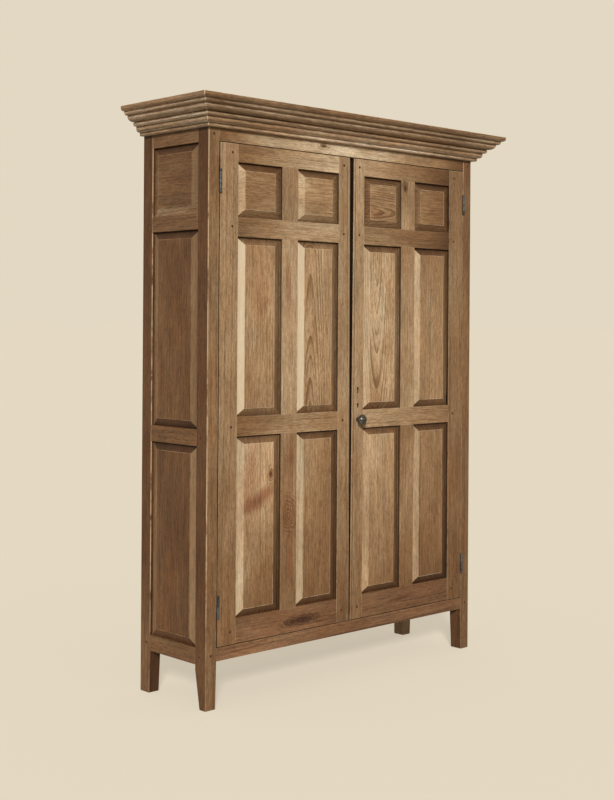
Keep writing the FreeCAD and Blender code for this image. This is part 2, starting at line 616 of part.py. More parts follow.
def latch_bar(place):
    """Bar on the spindle's inner end; it hangs down at rest and turns behind the other door."""
    vs = (DOOR_THICKNESS + INNER_CLEARANCE, DOOR_THICKNESS + INNER_CLEARANCE + LATCH_THICKNESS)
    half = LATCH_WIDTH / 2
    bar = block(place, (KNOB_U - half, KNOB_U + half), vs, (KNOB_Z - LATCH_REACH, KNOB_Z))
    eye = rod(place(KNOB_U, vs[0], KNOB_Z), place(KNOB_U, vs[1], KNOB_Z), half)
    bore_radius = SPINDLE_RADIUS + LATCH_BORE_PLAY
    bore = rod(place(KNOB_U, vs[0], KNOB_Z), place(KNOB_U, vs[1], KNOB_Z), bore_radius)
    return join([bar, eye]).cut(bore)


def door(name, hinges):
    """All nodes of one door."""
    place = door_place(SIDES[name])
    right = name == "right"
    nodes = {}
    grooves = [
        panel_groove(place, us, zs) for us in DOOR_PANEL_COLUMNS for zs in DOOR_PANEL_ROWS.values()
    ]
    peg_points = door_peg_points(right)
    peg_holes = [rod(place(u, 0, z), place(u, DOOR_THICKNESS, z), PEG_RADIUS) for u, z in peg_points]
    muntins = []
    muntin_mortises = []
    for zs in DOOR_PANEL_ROWS.values():
        muntin, mortise = door_muntin(place, zs, grooves)
        muntins.append(muntin)
        muntin_mortises.append(mortise)

    hardware_cuts = []
    hardware_screws = []
    if right:
        shell, bolt, screws, screw_holes = rim_lock(place)
        nodes["lock_case"] = shell
        nodes["lock_bolt"] = bolt
        nodes["knob"] = turned_knob(place)
        nodes["latch_bar"] = latch_bar(place)
        hardware_screws = screws
        spindle_radius = SPINDLE_RADIUS + SPINDLE_CLEARANCE
        spindle_ends = (place(KNOB_U, 0, KNOB_Z), place(KNOB_U, DOOR_THICKNESS, KNOB_Z))
        hardware_cuts = screw_holes + [
            rod(spindle_ends[0], spindle_ends[1], spindle_radius),
            keyhole(place, KEYHOLE_Z, DOOR_THICKNESS, KEYHOLE_SLOT_LENGTH),
            keyhole(place, OLD_KEYHOLE_Z, OLD_KEYHOLE_DEPTH, OLD_KEYHOLE_SLOT_LENGTH),
        ]
    else:
        plates = []
        for bolt_name, direction in (("top_bolt", 1), ("bottom_bolt", -1)):
            plate, bolt, screws, screw_holes = sliding_bolt(place, direction)
            plates.append(plate)
            nodes[bolt_name] = bolt
            hardware_screws += screws
            hardware_cuts += screw_holes
        nodes["bolt_plates"] = Part.makeCompound(plates)

    mortises = []
    for rail_name, zs in DOOR_RAILS.items():
        rail, mortise = door_rail(place, zs, grooves)
        mortises.append(mortise)
        nodes[f"{name}_door_{rail_name}"] = rail.cut(muntin_mortises + peg_holes + hardware_cuts)

    stile_cuts = grooves + mortises + peg_holes
    hinge_cuts = [cut for item in hinges for cut in item["door_cuts"]]
    hinge_stile = block(place, (0, HINGE_STILE_WIDTH), (0, DOOR_THICKNESS), (DOOR_BOTTOM, DOOR_TOP))
    nodes[f"{name}_door_hinge_stile"] = hinge_stile.cut(stile_cuts + hinge_cuts)
    nodes[f"{name}_door_meeting_stile"] = meeting_stile_blank(place).cut(stile_cuts + hardware_cuts)
    nodes[f"{name}_door_muntins"] = Part.makeCompound(muntins)
    for row, zs in DOOR_PANEL_ROWS.items():
        panels = [raised_panel(place, us, zs) for us in DOOR_PANEL_COLUMNS]
        nodes[f"{name}_door_{row}_panels"] = Part.makeCompound(panels)
    pegs = [rod(place(u, -PEG_PROUD, z), place(u, DOOR_THICKNESS, z), PEG_RADIUS) for u, z in peg_points]
    nodes[f"{name}_door_pegs"] = Part.makeCompound(pegs)
    nodes[f"{name}_door_hinge_leaves"] = Part.makeCompound([item["door_leaf"] for item in hinges])
    hinge_screws = [piece for item in hinges for piece in item["door_screws"]]
    nodes[f"{name}_door_screws"] = Part.makeCompound(hinge_screws + hardware_screws)
    return nodes


# Case frame
def leg_post(place, us, foot_us, foot_width):
    """Corner post, tapered on its inner faces down to the foot."""
    shaft = block(place, us, (0, POST_WIDTH), (LEG_TAPER_TOP, POST_TOP))
    top = level_rectangle(place, us, (0, POST_WIDTH), LEG_TAPER_TOP)
    foot = level_rectangle(place, foot_us, (0, foot_width), 0)
    return join([shaft, Part.makeLoft([top, foot], True, True)])


def cross_rail(zs, vs, tenon_vs, tenon_length, shoulder):
    """Rail between two posts at the front or back, and the mortise space of its tenons."""
    xs = (-HALF_OPENING, HALF_OPENING)
    tenon_zs = grown(zs, -shoulder)
    body = block(front_place, xs, vs, zs)
    tenon = block(front_place, grown(xs, tenon_length), tenon_vs, tenon_zs)
    mortise = block(front_place, grown(xs, tenon_length + MORTISE_END_GAP), tenon_vs, tenon_zs)
    return join([body, tenon]), mortise


def side_rail(place, zs, grooves):
    """Rail of a side wall, and the mortise space of its tenons."""
    tenon_zs = grown(zs, -TENON_SHOULDER)
    body = block(place, SIDE_OPENING_US, (0, SIDE_RAIL_THICKNESS), zs)
    tenon = block(place, grown(SIDE_OPENING_US, SIDE_TENON_LENGTH), TENON_VS, tenon_zs)
    mortise = block(place, grown(SIDE_OPENING_US, SIDE_TENON_LENGTH + MORTISE_END_GAP), TENON_VS, tenon_zs)
    return join([body, tenon]).cut(grooves), mortise


def case_frame(hinges):
    """Posts, rails, side panels and pegs of the case."""
    nodes = {}
    front_top, front_top_mortise = cross_rail(
        FRONT_TOP_RAIL_ZS, (0, FRONT_TOP_RAIL_THICKNESS), TENON_VS, FRONT_TENON_LENGTH, PLAIN_TENON_SHOULDER
    )
    front_bottom, front_bottom_mortise = cross_rail(
        FRONT_BOTTOM_RAIL_ZS,
        (0, FRONT_BOTTOM_RAIL_THICKNESS),
        TENON_VS,
        FRONT_TENON_LENGTH,
        PLAIN_TENON_SHOULDER,
    )
    back_rails = []
    back_mortises = []
    for zs in (BACK_TOP_RAIL_ZS, BACK_BOTTOM_RAIL_ZS):
        rail, mortise = cross_rail(zs, BACK_RAIL_VS, BACK_TENON_VS, BACK_TENON_LENGTH, PLAIN_TENON_SHOULDER)
        back_rails.append(rail)
        back_mortises.append(mortise)

    pegs = []
    peg_holes = []

    def add_peg(outside, inside, proud):
        outward = (outside - inside).normalize()
        peg_holes.append(rod(outside, inside, PEG_RADIUS))
        pegs.append(rod(outside + outward * proud, inside, PEG_RADIUS))

    front_peg_depth = TENON_VS[1] + PEG_TAIL
    visible_frieze = (OPENING_TOP + CORNICE_BOTTOM) / 2
    hidden_frieze = POST_TOP - HIDDEN_PEG_DROP
    bottom_middle = sum(FRONT_BOTTOM_RAIL_ZS) / 2
    back_peg_depth = BACK_TENON_VS[0] - PEG_TAIL
    for side in SIDES.values():
        x = side * (HALF_OPENING + FRONT_PEG_SETBACK)
        front_pegs = ((visible_frieze, PEG_PROUD), (hidden_frieze, 0), (bottom_middle, PEG_PROUD))
        for z, proud in front_pegs:
            add_peg(front_place(x, 0, z), front_place(x, front_peg_depth, z), proud)
        x = side * (HALF_OPENING + BACK_PEG_SETBACK)
        for zs in (BACK_TOP_RAIL_ZS, BACK_BOTTOM_RAIL_ZS):
            z = sum(zs) / 2
            add_peg(front_place(x, CASE_DEPTH, z), front_place(x, back_peg_depth, z), 0)
        place = wall_place(side)
        for zs in SIDE_RAILS:
            below_cornice = min(zs[1], CORNICE_BOTTOM)
            z = (zs[0] + below_cornice) / 2
            for u in (SIDE_OPENING_US[0] - SIDE_PEG_SETBACK, SIDE_OPENING_US[1] + SIDE_PEG_SETBACK):
                add_peg(place(u, 0, z), place(u, TENON_VS[1] + PEG_TAIL, z), PEG_PROUD)

    board_zs = (BACK_BOTTOM_RAIL_ZS[0], POST_TOP)
    rails = []
    for name, side in SIDES.items():
        place = wall_place(side)
        grooves = [panel_groove(place, SIDE_OPENING_US, zs) for zs in SIDE_PANEL_ROWS.values()]
        mortises = [front_top_mortise, front_bottom_mortise] + back_mortises
        for zs in SIDE_RAILS:
            rail, mortise = side_rail(place, zs, grooves)
            rails.append(rail.cut(peg_holes))
            mortises.append(mortise)
        cuts = grooves + mortises + peg_holes
        hinge_cuts = [cut for item in hinges[name] for cut in item["case_cuts"]]

        front_us = (0, FRONT_POST_DEPTH)
        taper = WORN_LEG_TAPER_DEPTH if name == "left" else LEG_TAPER_DEPTH
        foot_width = POST_WIDTH - LEG_TAPER_WIDTH
        front = leg_post(place, front_us, (0, FRONT_POST_DEPTH - taper), foot_width)
        nodes[f"front_{name}_post"] = front.cut(cuts + hinge_cuts)

        back_us = (CASE_DEPTH - BACK_POST_DEPTH, CASE_DEPTH)
        back = leg_post(place, back_us, (back_us[0] + LEG_TAPER_DEPTH, CASE_DEPTH), foot_width)
        rabbet = block(
            place, (BACK_BOARD_V, CASE_DEPTH), (POST_WIDTH - BACK_RABBET_WIDTH, POST_WIDTH), board_zs
        )
        nodes[f"back_{name}_post"] = back.cut(cuts + [rabbet])

        for row, zs in SIDE_PANEL_ROWS.items():
            nodes[f"{name}_{row}_panel"] = raised_panel(place, SIDE_OPENING_US, zs)

    nodes["front_top_rail"] = front_top.cut(peg_holes)
    nodes["front_bottom_rail"] = front_bottom.cut(peg_holes)
    nodes["back_rails"] = Part.makeCompound([rail.cut(peg_holes) for rail in back_rails])
    nodes["side_rails"] = Part.makeCompound(rails)
    nodes["case_pegs"] = Part.makeCompound(pegs)
    return nodes


# Boards, shelves and the door stop
def back_boards():
    """Upright boards, lapped over each other, in the back posts' rabbets."""
    half_span = HALF_OPENING + BACK_RABBET_WIDTH - BOARD_GAP / 2
    pitch = 2 * half_span / BACK_BOARD_COUNT
    middle_v = BACK_BOARD_V + BACK_BOARD_THICKNESS / 2
    zs = (BACK_BOTTOM_RAIL_ZS[0], POST_TOP)
    boards = []
    for index in range(BACK_BOARD_COUNT):
        left = -half_span + index * pitch
        right = left + pitch
        first = index == 0
        last = index == BACK_BOARD_COUNT - 1
        inner_xs = (left if first else left + BOARD_LAP, right if last else right + BOARD_LAP - BOARD_GAP)
        outer_xs = (left, right if last else right - BOARD_GAP)
        inner = block(front_place, inner_xs, (BACK_BOARD_V, middle_v), zs)
        outer = block(front_place, outer_xs, (middle_v, CASE_DEPTH), zs)
        boards.append(join([inner, outer]))
    return Part.makeCompound(boards)


def post_spaces():
    """Boxes of the four posts, that boards are notched round."""
    spaces = []
    for side in SIDES.values():
        place = wall_place(side)
        for us in ((0, FRONT_POST_DEPTH), (CASE_DEPTH - BACK_POST_DEPTH, CASE_DEPTH)):
            spaces.append(block(place, us, (0, POST_WIDTH), (0, POST_TOP)))
    return spaces


def board_pair(xs, vs, zs, cuts):
    """Two boards side by side, front and back."""
    middle = sum(vs) / 2
    spans = ((vs[0], middle - BOARD_GAP / 2), (middle + BOARD_GAP / 2, vs[1]))
    boards = [block(front_place, xs, span, zs) for span in spans]
    return [board.cut(cuts) if cuts else board for board in boards]


def inner_boards():
    """Floor, shelves with their cleats, top boards and the strip the doors close against."""
    nodes = {}
    posts = post_spaces()
    inner_half = HALF_WIDTH - SIDE_RAIL_THICKNESS
    inner_xs = (-inner_half, inner_half)
    bolt_place = door_place(SIDES["left"])
    bolt_room = BOLT_RADIUS + BOLT_HOLE_PLAY
    floor_v = DOOR_THICKNESS + FLOOR_DOOR_GAP
    notch = block(
        bolt_place,
        (BOLT_U - bolt_room, BOLT_U + bolt_room),
        (floor_v, BOLT_V + bolt_room),
        (OPENING_BOTTOM, FLOOR_TOP),
    )
    floor_zs = (OPENING_BOTTOM, FLOOR_TOP)
    floor = board_pair(inner_xs, (floor_v, BACK_BOARD_V), floor_zs, posts + [notch])
    nodes["floor_boards"] = Part.makeCompound(floor)

    shelves = []
    cleats = []
    for index in range(SHELF_COUNT):
        top = FLOOR_TOP + (index + 1) * SHELF_PITCH
        shelf_zs = (top - SHELF_THICKNESS, top)
        shelves.append(block(front_place, inner_xs, (SHELF_SETBACK, BACK_BOARD_V), shelf_zs).cut(posts))
        for side in SIDES.values():
            cleats.append(
                block(
                    wall_place(side),
                    (DOOR_THICKNESS + CLEAT_DOOR_GAP, BACK_BOARD_V),
                    (POST_WIDTH, POST_WIDTH + CLEAT_WIDTH),
                    (shelf_zs[0] - CLEAT_HEIGHT, shelf_zs[0]),
                )
            )
    nodes["shelves"] = Part.makeCompound(shelves)
    nodes["shelf_cleats"] = Part.makeCompound(cleats)

    top_zs = (POST_TOP, TOTAL_HEIGHT)
    top = board_pair((-HALF_WIDTH, HALF_WIDTH), (0, CASE_DEPTH), top_zs, [])
    nodes["top_boards"] = Part.makeCompound(top)

    stop_zs = (OPENING_TOP - STOP_OVERLAP, OPENING_TOP - STOP_OVERLAP + STOP_HEIGHT)
    stop = block(front_place, (-HALF_OPENING, HALF_OPENING), (STOP_V, STOP_V + STOP_THICKNESS), stop_zs)
    bolt_ends = [bolt_place(BOLT_U, BOLT_V, z) for z in stop_zs]
    nodes["door_stop"] = stop.cut(rod(bolt_ends[0], bolt_ends[1], bolt_room))
    return nodes


# Cornice
def ovolo(start, reach, bottom, rise):
    """Quarter-round member: curves out from its foot, then a short upright face."""
    face = rise * OVOLO_FACE_SHARE
    curve_top = bottom + rise - face
    middle = (
        start + OVOLO_BULGE * (reach - start),
        curve_top - OVOLO_BULGE * (curve_top - bottom),
    )
    return [
        ("line", (start, bottom)),
        ("arc", middle, (reach, curve_top)),
        ("line", (reach, bottom + rise)),
    ]


def cornice_profiles():
    """Outlines of the three stacked boards, as (reach, height) steps from the wall out and up."""
    fillet_top = CORNICE_BOTTOM + FILLET_RISE
    bed_top = fillet_top + BED_RISE
    bead_top = bed_top + BEAD_RISE
    ovolo_top = bead_top + OVOLO_RISE
    upper_top = ovolo_top + UPPER_RISE
    bed_reach = FILLET_STEP + BED_STEP
    bead_reach = bed_reach + BEAD_STEP
    bead_root = bead_reach - BEAD_RISE / 2
    ovolo_reach = bead_reach + OVOLO_STEP
    upper_reach = ovolo_reach + UPPER_STEP
    corner = FILLET_ROUND * (1 - math.sqrt(0.5))
    bed = [
        ("line", (FILLET_STEP - FILLET_ROUND, CORNICE_BOTTOM)),
        (
            "arc",
            (FILLET_STEP - corner, CORNICE_BOTTOM + corner),
            (FILLET_STEP, CORNICE_BOTTOM + FILLET_ROUND),
        ),
        ("line", (FILLET_STEP, fillet_top)),
    ] + ovolo(FILLET_STEP + MEMBER_QUIRK, bed_reach, fillet_top, BED_RISE)
    bead = [
        ("line", (bead_root, bed_top)),
        ("arc", (bead_reach, (bed_top + bead_top) / 2), (bead_root, bead_top)),
    ] + ovolo(bead_root + MEMBER_QUIRK, ovolo_reach, bead_top, OVOLO_RISE)
    crown = ovolo(ovolo_reach + MEMBER_QUIRK, upper_reach, ovolo_top, UPPER_RISE) + ovolo(
        upper_reach + MEMBER_QUIRK, CORNICE_REACH, upper_top, CROWN_RISE
    )
    return ((CORNICE_BOTTOM, bed_top, bed), (bed_top, ovolo_top, bead), (ovolo_top, TOTAL_HEIGHT, crown))


def profile_face(profile, at):
    """Closed face of a cornice board's section; at() places a (reach, height) point."""
    bottom, top, steps = profile
    here = at(0, bottom)
    edges = []
    for step in steps:
        there = at(*step[-1])
        if step[0] == "arc":
            edges.append(Part.Arc(here, at(*step[1]), there).toShape())
        else:
            edges.append(Part.makeLine(here, there))
        here = there
    edges.append(Part.makeLine(here, at(0, top)))
    edges.append(Part.makeLine(at(0, top), at(0, bottom)))
    return Part.Face(Part.Wire(edges))


def plan_prism(points):
    """Upright prism over a plan outline, as tall as the cornice."""
    wire = Part.makePolygon([Vector(x, y, CORNICE_BOTTOM) for x, y in points + points[:1]])
    return Part.Face(wire).extrude(Vector(0, 0, CORNICE_HEIGHT))


def cornice():
    """Front and side cornices, each of three stacked boards, mitred at the front corners."""
    outer_x = HALF_WIDTH + CORNICE_REACH
    outer_y = FRONT_Y - CORNICE_REACH
    front_plan = plan_prism(
        [(-HALF_WIDTH, FRONT_Y), (HALF_WIDTH, FRONT_Y), (outer_x, outer_y), (-outer_x, outer_y)]
    )
    profiles = cornice_profiles()
    front = []
    for profile in profiles:
        face = profile_face(profile, lambda reach, z: Vector(-outer_x, FRONT_Y - reach, z))
        front.append(face.extrude(Vector(2 * outer_x, 0, 0)).common(front_plan))
    nodes = {"cornice_front": Part.makeCompound(front)}
    for name, side in SIDES.items():
        side_plan = plan_prism(
            [
                (side * HALF_WIDTH, FRONT_Y),
                (side * outer_x, outer_y),
                (side * outer_x, BACK_Y),
                (side * HALF_WIDTH, BACK_Y),
            ]
        )
        boards = []
        for profile in profiles:
            face = profile_face(profile, lambda reach, z: Vector(side * (HALF_WIDTH + reach), outer_y, z))
            boards.append(face.extrude(Vector(0, BACK_Y - outer_y, 0)).common(side_plan))
        nodes[f"cornice_{name}"] = Part.makeCompound(boards)
    return nodes


def main():
    """Build every node and write one file for each."""
    hinges = {
        name: [hinge(door_place(side), bottom) for bottom in HINGE_BOTTOMS] for name, side in SIDES.items()
    }
    every_hinge = hinges["left"] + hinges["right"]
    nodes = case_frame(hinges)
    nodes["back_boards"] = back_boards()
    nodes.update(inner_boards())
    nodes.update(cornice())
    for name in SIDES:
        nodes.update(door(name, hinges[name]))
    fixed_leaves = [item["case_leaf"] for item in every_hinge]
    pins = [item["pin"] for item in every_hinge]
    nodes["hinge_case_leaves"] = Part.makeCompound(fixed_leaves)
    nodes["hinge_pins"] = Part.makeCompound(pins)
    nodes["case_hinge_screws"] = Part.makeCompound([s for item in every_hinge for s in item["case_screws"]])

    os.makedirs("parts", exist_ok=True)
    for name, shape in nodes.items():
        shape.exportStep(f"parts/{name}.step")


main()
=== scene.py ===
"""Looks of a panelled oak cupboard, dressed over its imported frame."""

import json
import logging
import math
import random
from collections.abc import Iterable, Mapping, Sequence
from dataclasses import dataclass, field
from enum import Enum
from typing import Any

import bmesh
import bpy
from bmesh.types import BMesh, BMFace, BMVert
from bpy.types import ID, Material, Node, NodeSocket, NodeTree, Object
from mathutils import Color, Matrix, Vector

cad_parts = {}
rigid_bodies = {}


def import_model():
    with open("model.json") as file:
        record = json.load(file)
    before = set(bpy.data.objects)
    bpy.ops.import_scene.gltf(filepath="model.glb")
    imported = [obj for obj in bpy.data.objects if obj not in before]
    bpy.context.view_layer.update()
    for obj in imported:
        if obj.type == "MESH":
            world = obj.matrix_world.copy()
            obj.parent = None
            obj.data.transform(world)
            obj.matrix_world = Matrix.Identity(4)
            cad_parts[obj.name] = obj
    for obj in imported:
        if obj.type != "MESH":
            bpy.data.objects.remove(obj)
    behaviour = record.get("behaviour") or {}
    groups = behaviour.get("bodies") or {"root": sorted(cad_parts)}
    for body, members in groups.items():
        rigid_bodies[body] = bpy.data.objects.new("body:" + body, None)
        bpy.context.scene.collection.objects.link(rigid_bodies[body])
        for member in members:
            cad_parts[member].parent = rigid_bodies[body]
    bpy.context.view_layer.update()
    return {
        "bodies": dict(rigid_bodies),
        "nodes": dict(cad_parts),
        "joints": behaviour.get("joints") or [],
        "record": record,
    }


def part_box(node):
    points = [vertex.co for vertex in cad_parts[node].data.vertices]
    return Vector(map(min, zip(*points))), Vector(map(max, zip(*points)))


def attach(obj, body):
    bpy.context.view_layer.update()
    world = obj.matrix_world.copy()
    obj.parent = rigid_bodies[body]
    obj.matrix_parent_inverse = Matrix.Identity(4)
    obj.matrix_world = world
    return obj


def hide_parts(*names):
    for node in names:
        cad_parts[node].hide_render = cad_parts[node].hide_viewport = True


Rgb = tuple[int, int, int]
Span = tuple[float, float]
Triple = tuple[float, float, float]
Rgba = tuple[float, float, float, float]
Tone = float | Triple
Frame = dict[str, Any]
Spots = list[tuple[Vector, Vector]]

log = logging.getLogger("cupboard")

MERGE_DISTANCE = 1e-5
FLAT_ANGLE = math.radians(0.4)
SHARP_ANGLE = math.radians(35)
SMOOTH_ANGLE = math.radians(28)
HALF_RIGHT = math.sqrt(0.5)
SHORTEST_ARRIS = 0.010
SMALLEST_ARRIS_FACE = 2e-4
ARRIS_SEGMENTS = 2
ARRIS_PROFILE = 0.5
PLAIN_STRIPS = 2
PLACE_DIGITS = 3
REAR_LEAN = 0.2
SOFFIT_LEAN = 0.8
SLOPE_LEAN = 0.8
FIELD_LEAN = 0.99
PITH_ASIDE = (0.15, 0.27)
PITH_DEPTH = (0.04, 0.12)
PITH_LEAN_ASIDE = 0.012
PITH_LEAN = 0.02
GRAIN_START = 3.0
COLOUR_STEPS = 255
AXES = range(3)

FLOAT = "NodeSocketFloat"
WHOLE = "NodeSocketInt"
VECTOR = "NodeSocketVector"
COLOUR = "NodeSocketColor"
GEOMETRY = "NodeSocketGeometry"
MATERIAL = "NodeSocketMaterial"
GREY = (0.5, 0.5, 0.5, 1.0)
MID_NOISE = (0.5, 0.5, 0.5)
NOISE_ROUGHNESS = 0.55
ACROSS_GRAIN = (1.0, 1.0, 0.0)
COLOUR_MIX_INPUTS = (0, 6, 7)
COLOUR_MIX_OUTPUT = 2
RANDOM_LIMIT_INPUT = 3
RANDOM_OUTPUT = 1
FIGURE_PARTS = ("Rings", "Streaks", "Dashes", "Pores", "Blotches", "Warmth")


class Side(Enum):
    """The two hands of the cupboard, as seen from its front."""

    LEFT = -1
    RIGHT = 1

    @property
    def word(self) -> str:
        """Name used in node names."""
        return self.name.lower()


@dataclass(frozen=True)
class Heart:
    """Place of the tree's heart behind a board's face.

    Attributes:
        aside: Distance across the board, from its middle.
        behind: Depth at its middle.
        lean: Growth of the depth along the board.
        bow: Growth of the lean along it.
    """

    aside: float
    behind: float
    lean: float
    bow: float = 0.0


class Figure(Enum):
    """How the growth rings cross a board's face."""

    STRAIGHT = None
    PEAKED = Heart(0.037, 0.048, 0.08, -0.10)
    HANGING = Heart(0.027, 0.036, -0.10)
    TONGUED = Heart(0.036, 0.022, 0.16)


@dataclass(frozen=True)
class BevelTones:
    """Painted light and shade on a raised panel's four bevels.

    Attributes:
        lit: Painted light: tone of the bevel that leans towards the front left.
        shaded: Share of the panel's own tone on the one across from it.
        top: Its share on the upper bevel.
        foot: Its share on the lower bevel.
        lit_soil: Painted shade at the foot of the lit bevel, from 0 to 1.
        shaded_soil: Painted shade at the foot of the shaded one.
        top_soil: Painted shade at the foot of the upper one.
        foot_soil: Painted shade at the foot of the lower one.
        planed: How far the lit bevel's painted highlight hides its figure, from 0 to 1.
    """

    lit: float
    shaded: float
    top: float
    foot: float
    # Shares of painted shade at the foot of each bevel.
    lit_soil: float = 0.05
    shaded_soil: float = 0.50
    top_soil: float = 0.65
    foot_soil: float = 0.48
    # Painted highlight on the lit bevel.
    planed: float = 0.6


@dataclass(frozen=True)
class Knot:
    """A knot in the wood.

    Attributes:
        centre: Its place in metres.
        radius: How far its rings reach across the grain.
        squeeze: Scale of each axis; a small value lengthens the knot along it.
        heart: Darkness of its middle, from 0 to 1.
    """

    centre: Triple
    radius: float
    squeeze: Triple
    heart: float = 1.0


@dataclass(frozen=True)
class Stain:
    """A darker heartwood streak.

    Attributes:
        centre: Its place in metres.
        turn: Slope on the front face, in radians.
        half_length: Reach along the streak.
        half_width: Reach across it.
        tint: Colour that the wood is multiplied by at its middle.
    """

    centre: Triple
    turn: float
    half_length: float
    half_width: float
    tint: Rgb


@dataclass(frozen=True)
class TimberFinish:
    """Colours and figure of one kind of wood.

    Attributes:
        name: Material name.
        slot: Material slot of the record.
        pale: Colour between the rings.
        dark: Colour of the rings.
        worn: Colour of rubbed edges and of painted highlights.
        ring_pitch: Distance between rings in metres.
        ring_weight: Strength of the rings, from 0 to 1.
        streak_weight: Strength of the long streaks.
        dash_weight: Strength of the short dark dashes.
        roughness: Roughness of the waxed surface.
        knots: Knots that show in this wood.
        stains: Heartwood streaks that show in this wood.
    """

    name: str
    slot: str
    pale: Rgb
    dark: Rgb
    worn: Rgb
    ring_pitch: float = 0.0085
    ring_weight: float = 0.45
    streak_weight: float = 0.34
    dash_weight: float = 0.40
    roughness: float = 0.56
    knots: tuple[Knot, ...] = ()
    stains: tuple[Stain, ...] = ()


@dataclass(frozen=True)
class IronFinish:
    """Colours of one kind of iron.

    Attributes:
        name: Material name.
        slot: Material slot of the record.
        clean: Colour of rubbed metal.
        dull: Colour of the darkened skin.
        metallic: Share of bare metal.
        roughness: Mean roughness.
    """

    name: str
    slot: str
    clean: Rgb
    dull: Rgb
    metallic: float
    roughness: float


FRONT_Y = -0.129
BACK_Y = 0.226
MITRE_PLANE = 0.531 * HALF_RIGHT
FILLET_TOP = 1.917
BED_TOP = 1.937
UPRIGHT = 1.57
SMALL_KNOT = (1.0, 1.0, 0.6)
LYING_KNOT = (0.45, 1.0, 1.0)
LONG_KNOT = (0.22, 1.0, 1.0)

FRAME_OAK = TimberFinish(
    "frame_oak",
    "frame_oak",
    pale=(180, 147, 109),
    dark=(121, 90, 59),
    worn=(206, 180, 144),
    knots=(
        Knot((-0.2950, FRONT_Y, 0.6077), 0.050, SMALL_KNOT, heart=0.0),
        Knot((0.2810, FRONT_Y, 1.7733), 0.022, SMALL_KNOT),
        Knot((-0.1405, FRONT_Y, 1.8900), 0.017, LYING_KNOT),
    ),
    stains=(
        Stain((-0.2950, FRONT_Y, 0.6077), UPRIGHT, 0.150, 0.060, (240, 216, 206)),
        Stain((-0.2900, FRONT_Y, 0.8100), UPRIGHT, 0.110, 0.020, (226, 194, 182)),
        Stain((-0.2940, FRONT_Y, 0.4500), UPRIGHT, 0.120, 0.022, (226, 194, 182)),
        Stain((-0.3060, FRONT_Y, 1.3800), UPRIGHT, 0.160, 0.018, (230, 204, 192)),
        Stain((0.2810, FRONT_Y, 1.7733), UPRIGHT, 0.030, 0.020, (184, 154, 140)),
        Stain((-0.1405, FRONT_Y, 1.8900), 0.0, 0.022, 0.011, (138, 112, 96)),
        # This streak darkens the right part of the front top rail.
        Stain((0.3400, FRONT_Y, 1.8840), 0.0, 0.220, 0.030, (228, 222, 216)),
    ),
)
PANEL_OAK = TimberFinish(
    "panel_oak",
    "panel_oak",
    pale=(181, 145, 105),
    dark=(119, 86, 54),
    worn=(204, 184, 152),
    ring_weight=0.45,
    knots=(Knot((-0.3798, FRONT_Y, 0.7543), 0.024, SMALL_KNOT),),
    stains=(
        Stain((-0.462, FRONT_Y, 0.654), 0.30, 0.070, 0.044, (198, 166, 155)),
        Stain((-0.405, FRONT_Y, 0.688), 0.50, 0.075, 0.038, (206, 176, 165)),
        Stain((-0.470, FRONT_Y, 0.770), 1.45, 0.160, 0.050, (246, 222, 214)),
        Stain((-0.3798, FRONT_Y, 0.7543), 0.0, 0.018, 0.026, (188, 146, 128)),
        Stain((0.1400, FRONT_Y, 1.6650), 0.1, 0.060, 0.026, (222, 206, 198)),
    ),
)
RUSSET_OAK = TimberFinish(
    "russet_oak",
    "frame_oak",
    pale=(147, 107, 74),
    dark=(93, 64, 41),
    worn=(178, 146, 110),
    ring_weight=0.68,
    knots=(Knot((-0.2409, FRONT_Y, 0.2384), 0.024, LONG_KNOT, heart=0.3),),
    stains=(
        Stain((-0.2409, FRONT_Y, 0.2384), 0.06, 0.110, 0.022, (168, 150, 142)),
        Stain((0.2700, FRONT_Y, 0.2450), 0.10, 0.110, 0.014, (198, 180, 170)),
    ),
)
# Darker copy of the oak for the case's sides, painted shade.
SHADED_SIDE_OAK = TimberFinish(
    "side_oak",
    "panel_oak",
    pale=(133, 95, 61),
    dark=(56, 37, 21),
    worn=(164, 134, 98),
    ring_weight=0.30,
    dash_weight=0.28,
)
MOULDING_OAK = TimberFinish(
    "moulding_oak",
    "cornice_oak",
    pale=(212, 182, 147),
    dark=(140, 110, 82),
    worn=(222, 198, 162),
    streak_weight=0.42,
    dash_weight=0.50,
)
INNER_PINE = TimberFinish(
    "inner_pine",
    "inner_pine",
    pale=(176, 140, 98),
    dark=(128, 94, 60),
    worn=(186, 154, 114),
    ring_pitch=0.011,
    roughness=0.7,
)
PEG_WOOD = TimberFinish(
    "peg_wood",
    "peg_wood",
    pale=(80, 48, 31),
    dark=(44, 26, 18),
    worn=(110, 74, 50),
    ring_pitch=0.002,
)
HINGE_IRON = IronFinish("hinge_iron", "hinge_iron", (84, 88, 87), (44, 46, 46), 0.5, 0.55)
LOCK_IRON = IronFinish("lock_iron", "lock_iron", (92, 92, 90), (44, 43, 41), 0.6, 0.5)
KNOB_IRON = IronFinish("knob_iron", "knob_iron", (104, 102, 92), (58, 54, 48), 0.7, 0.24)


def linear(colour: Rgb) -> Rgba:
    """Turn a display colour into the renderer's linear one.

    Args:
        colour: Red, green and blue from 0 to 255.

    Returns:
        Linear red, green, blue and an alpha of 1.
    """
    red, green, blue = Color([part / COLOUR_STEPS for part in colour]).from_srgb_to_scene_linear()
    return (red, green, blue, 1.0)


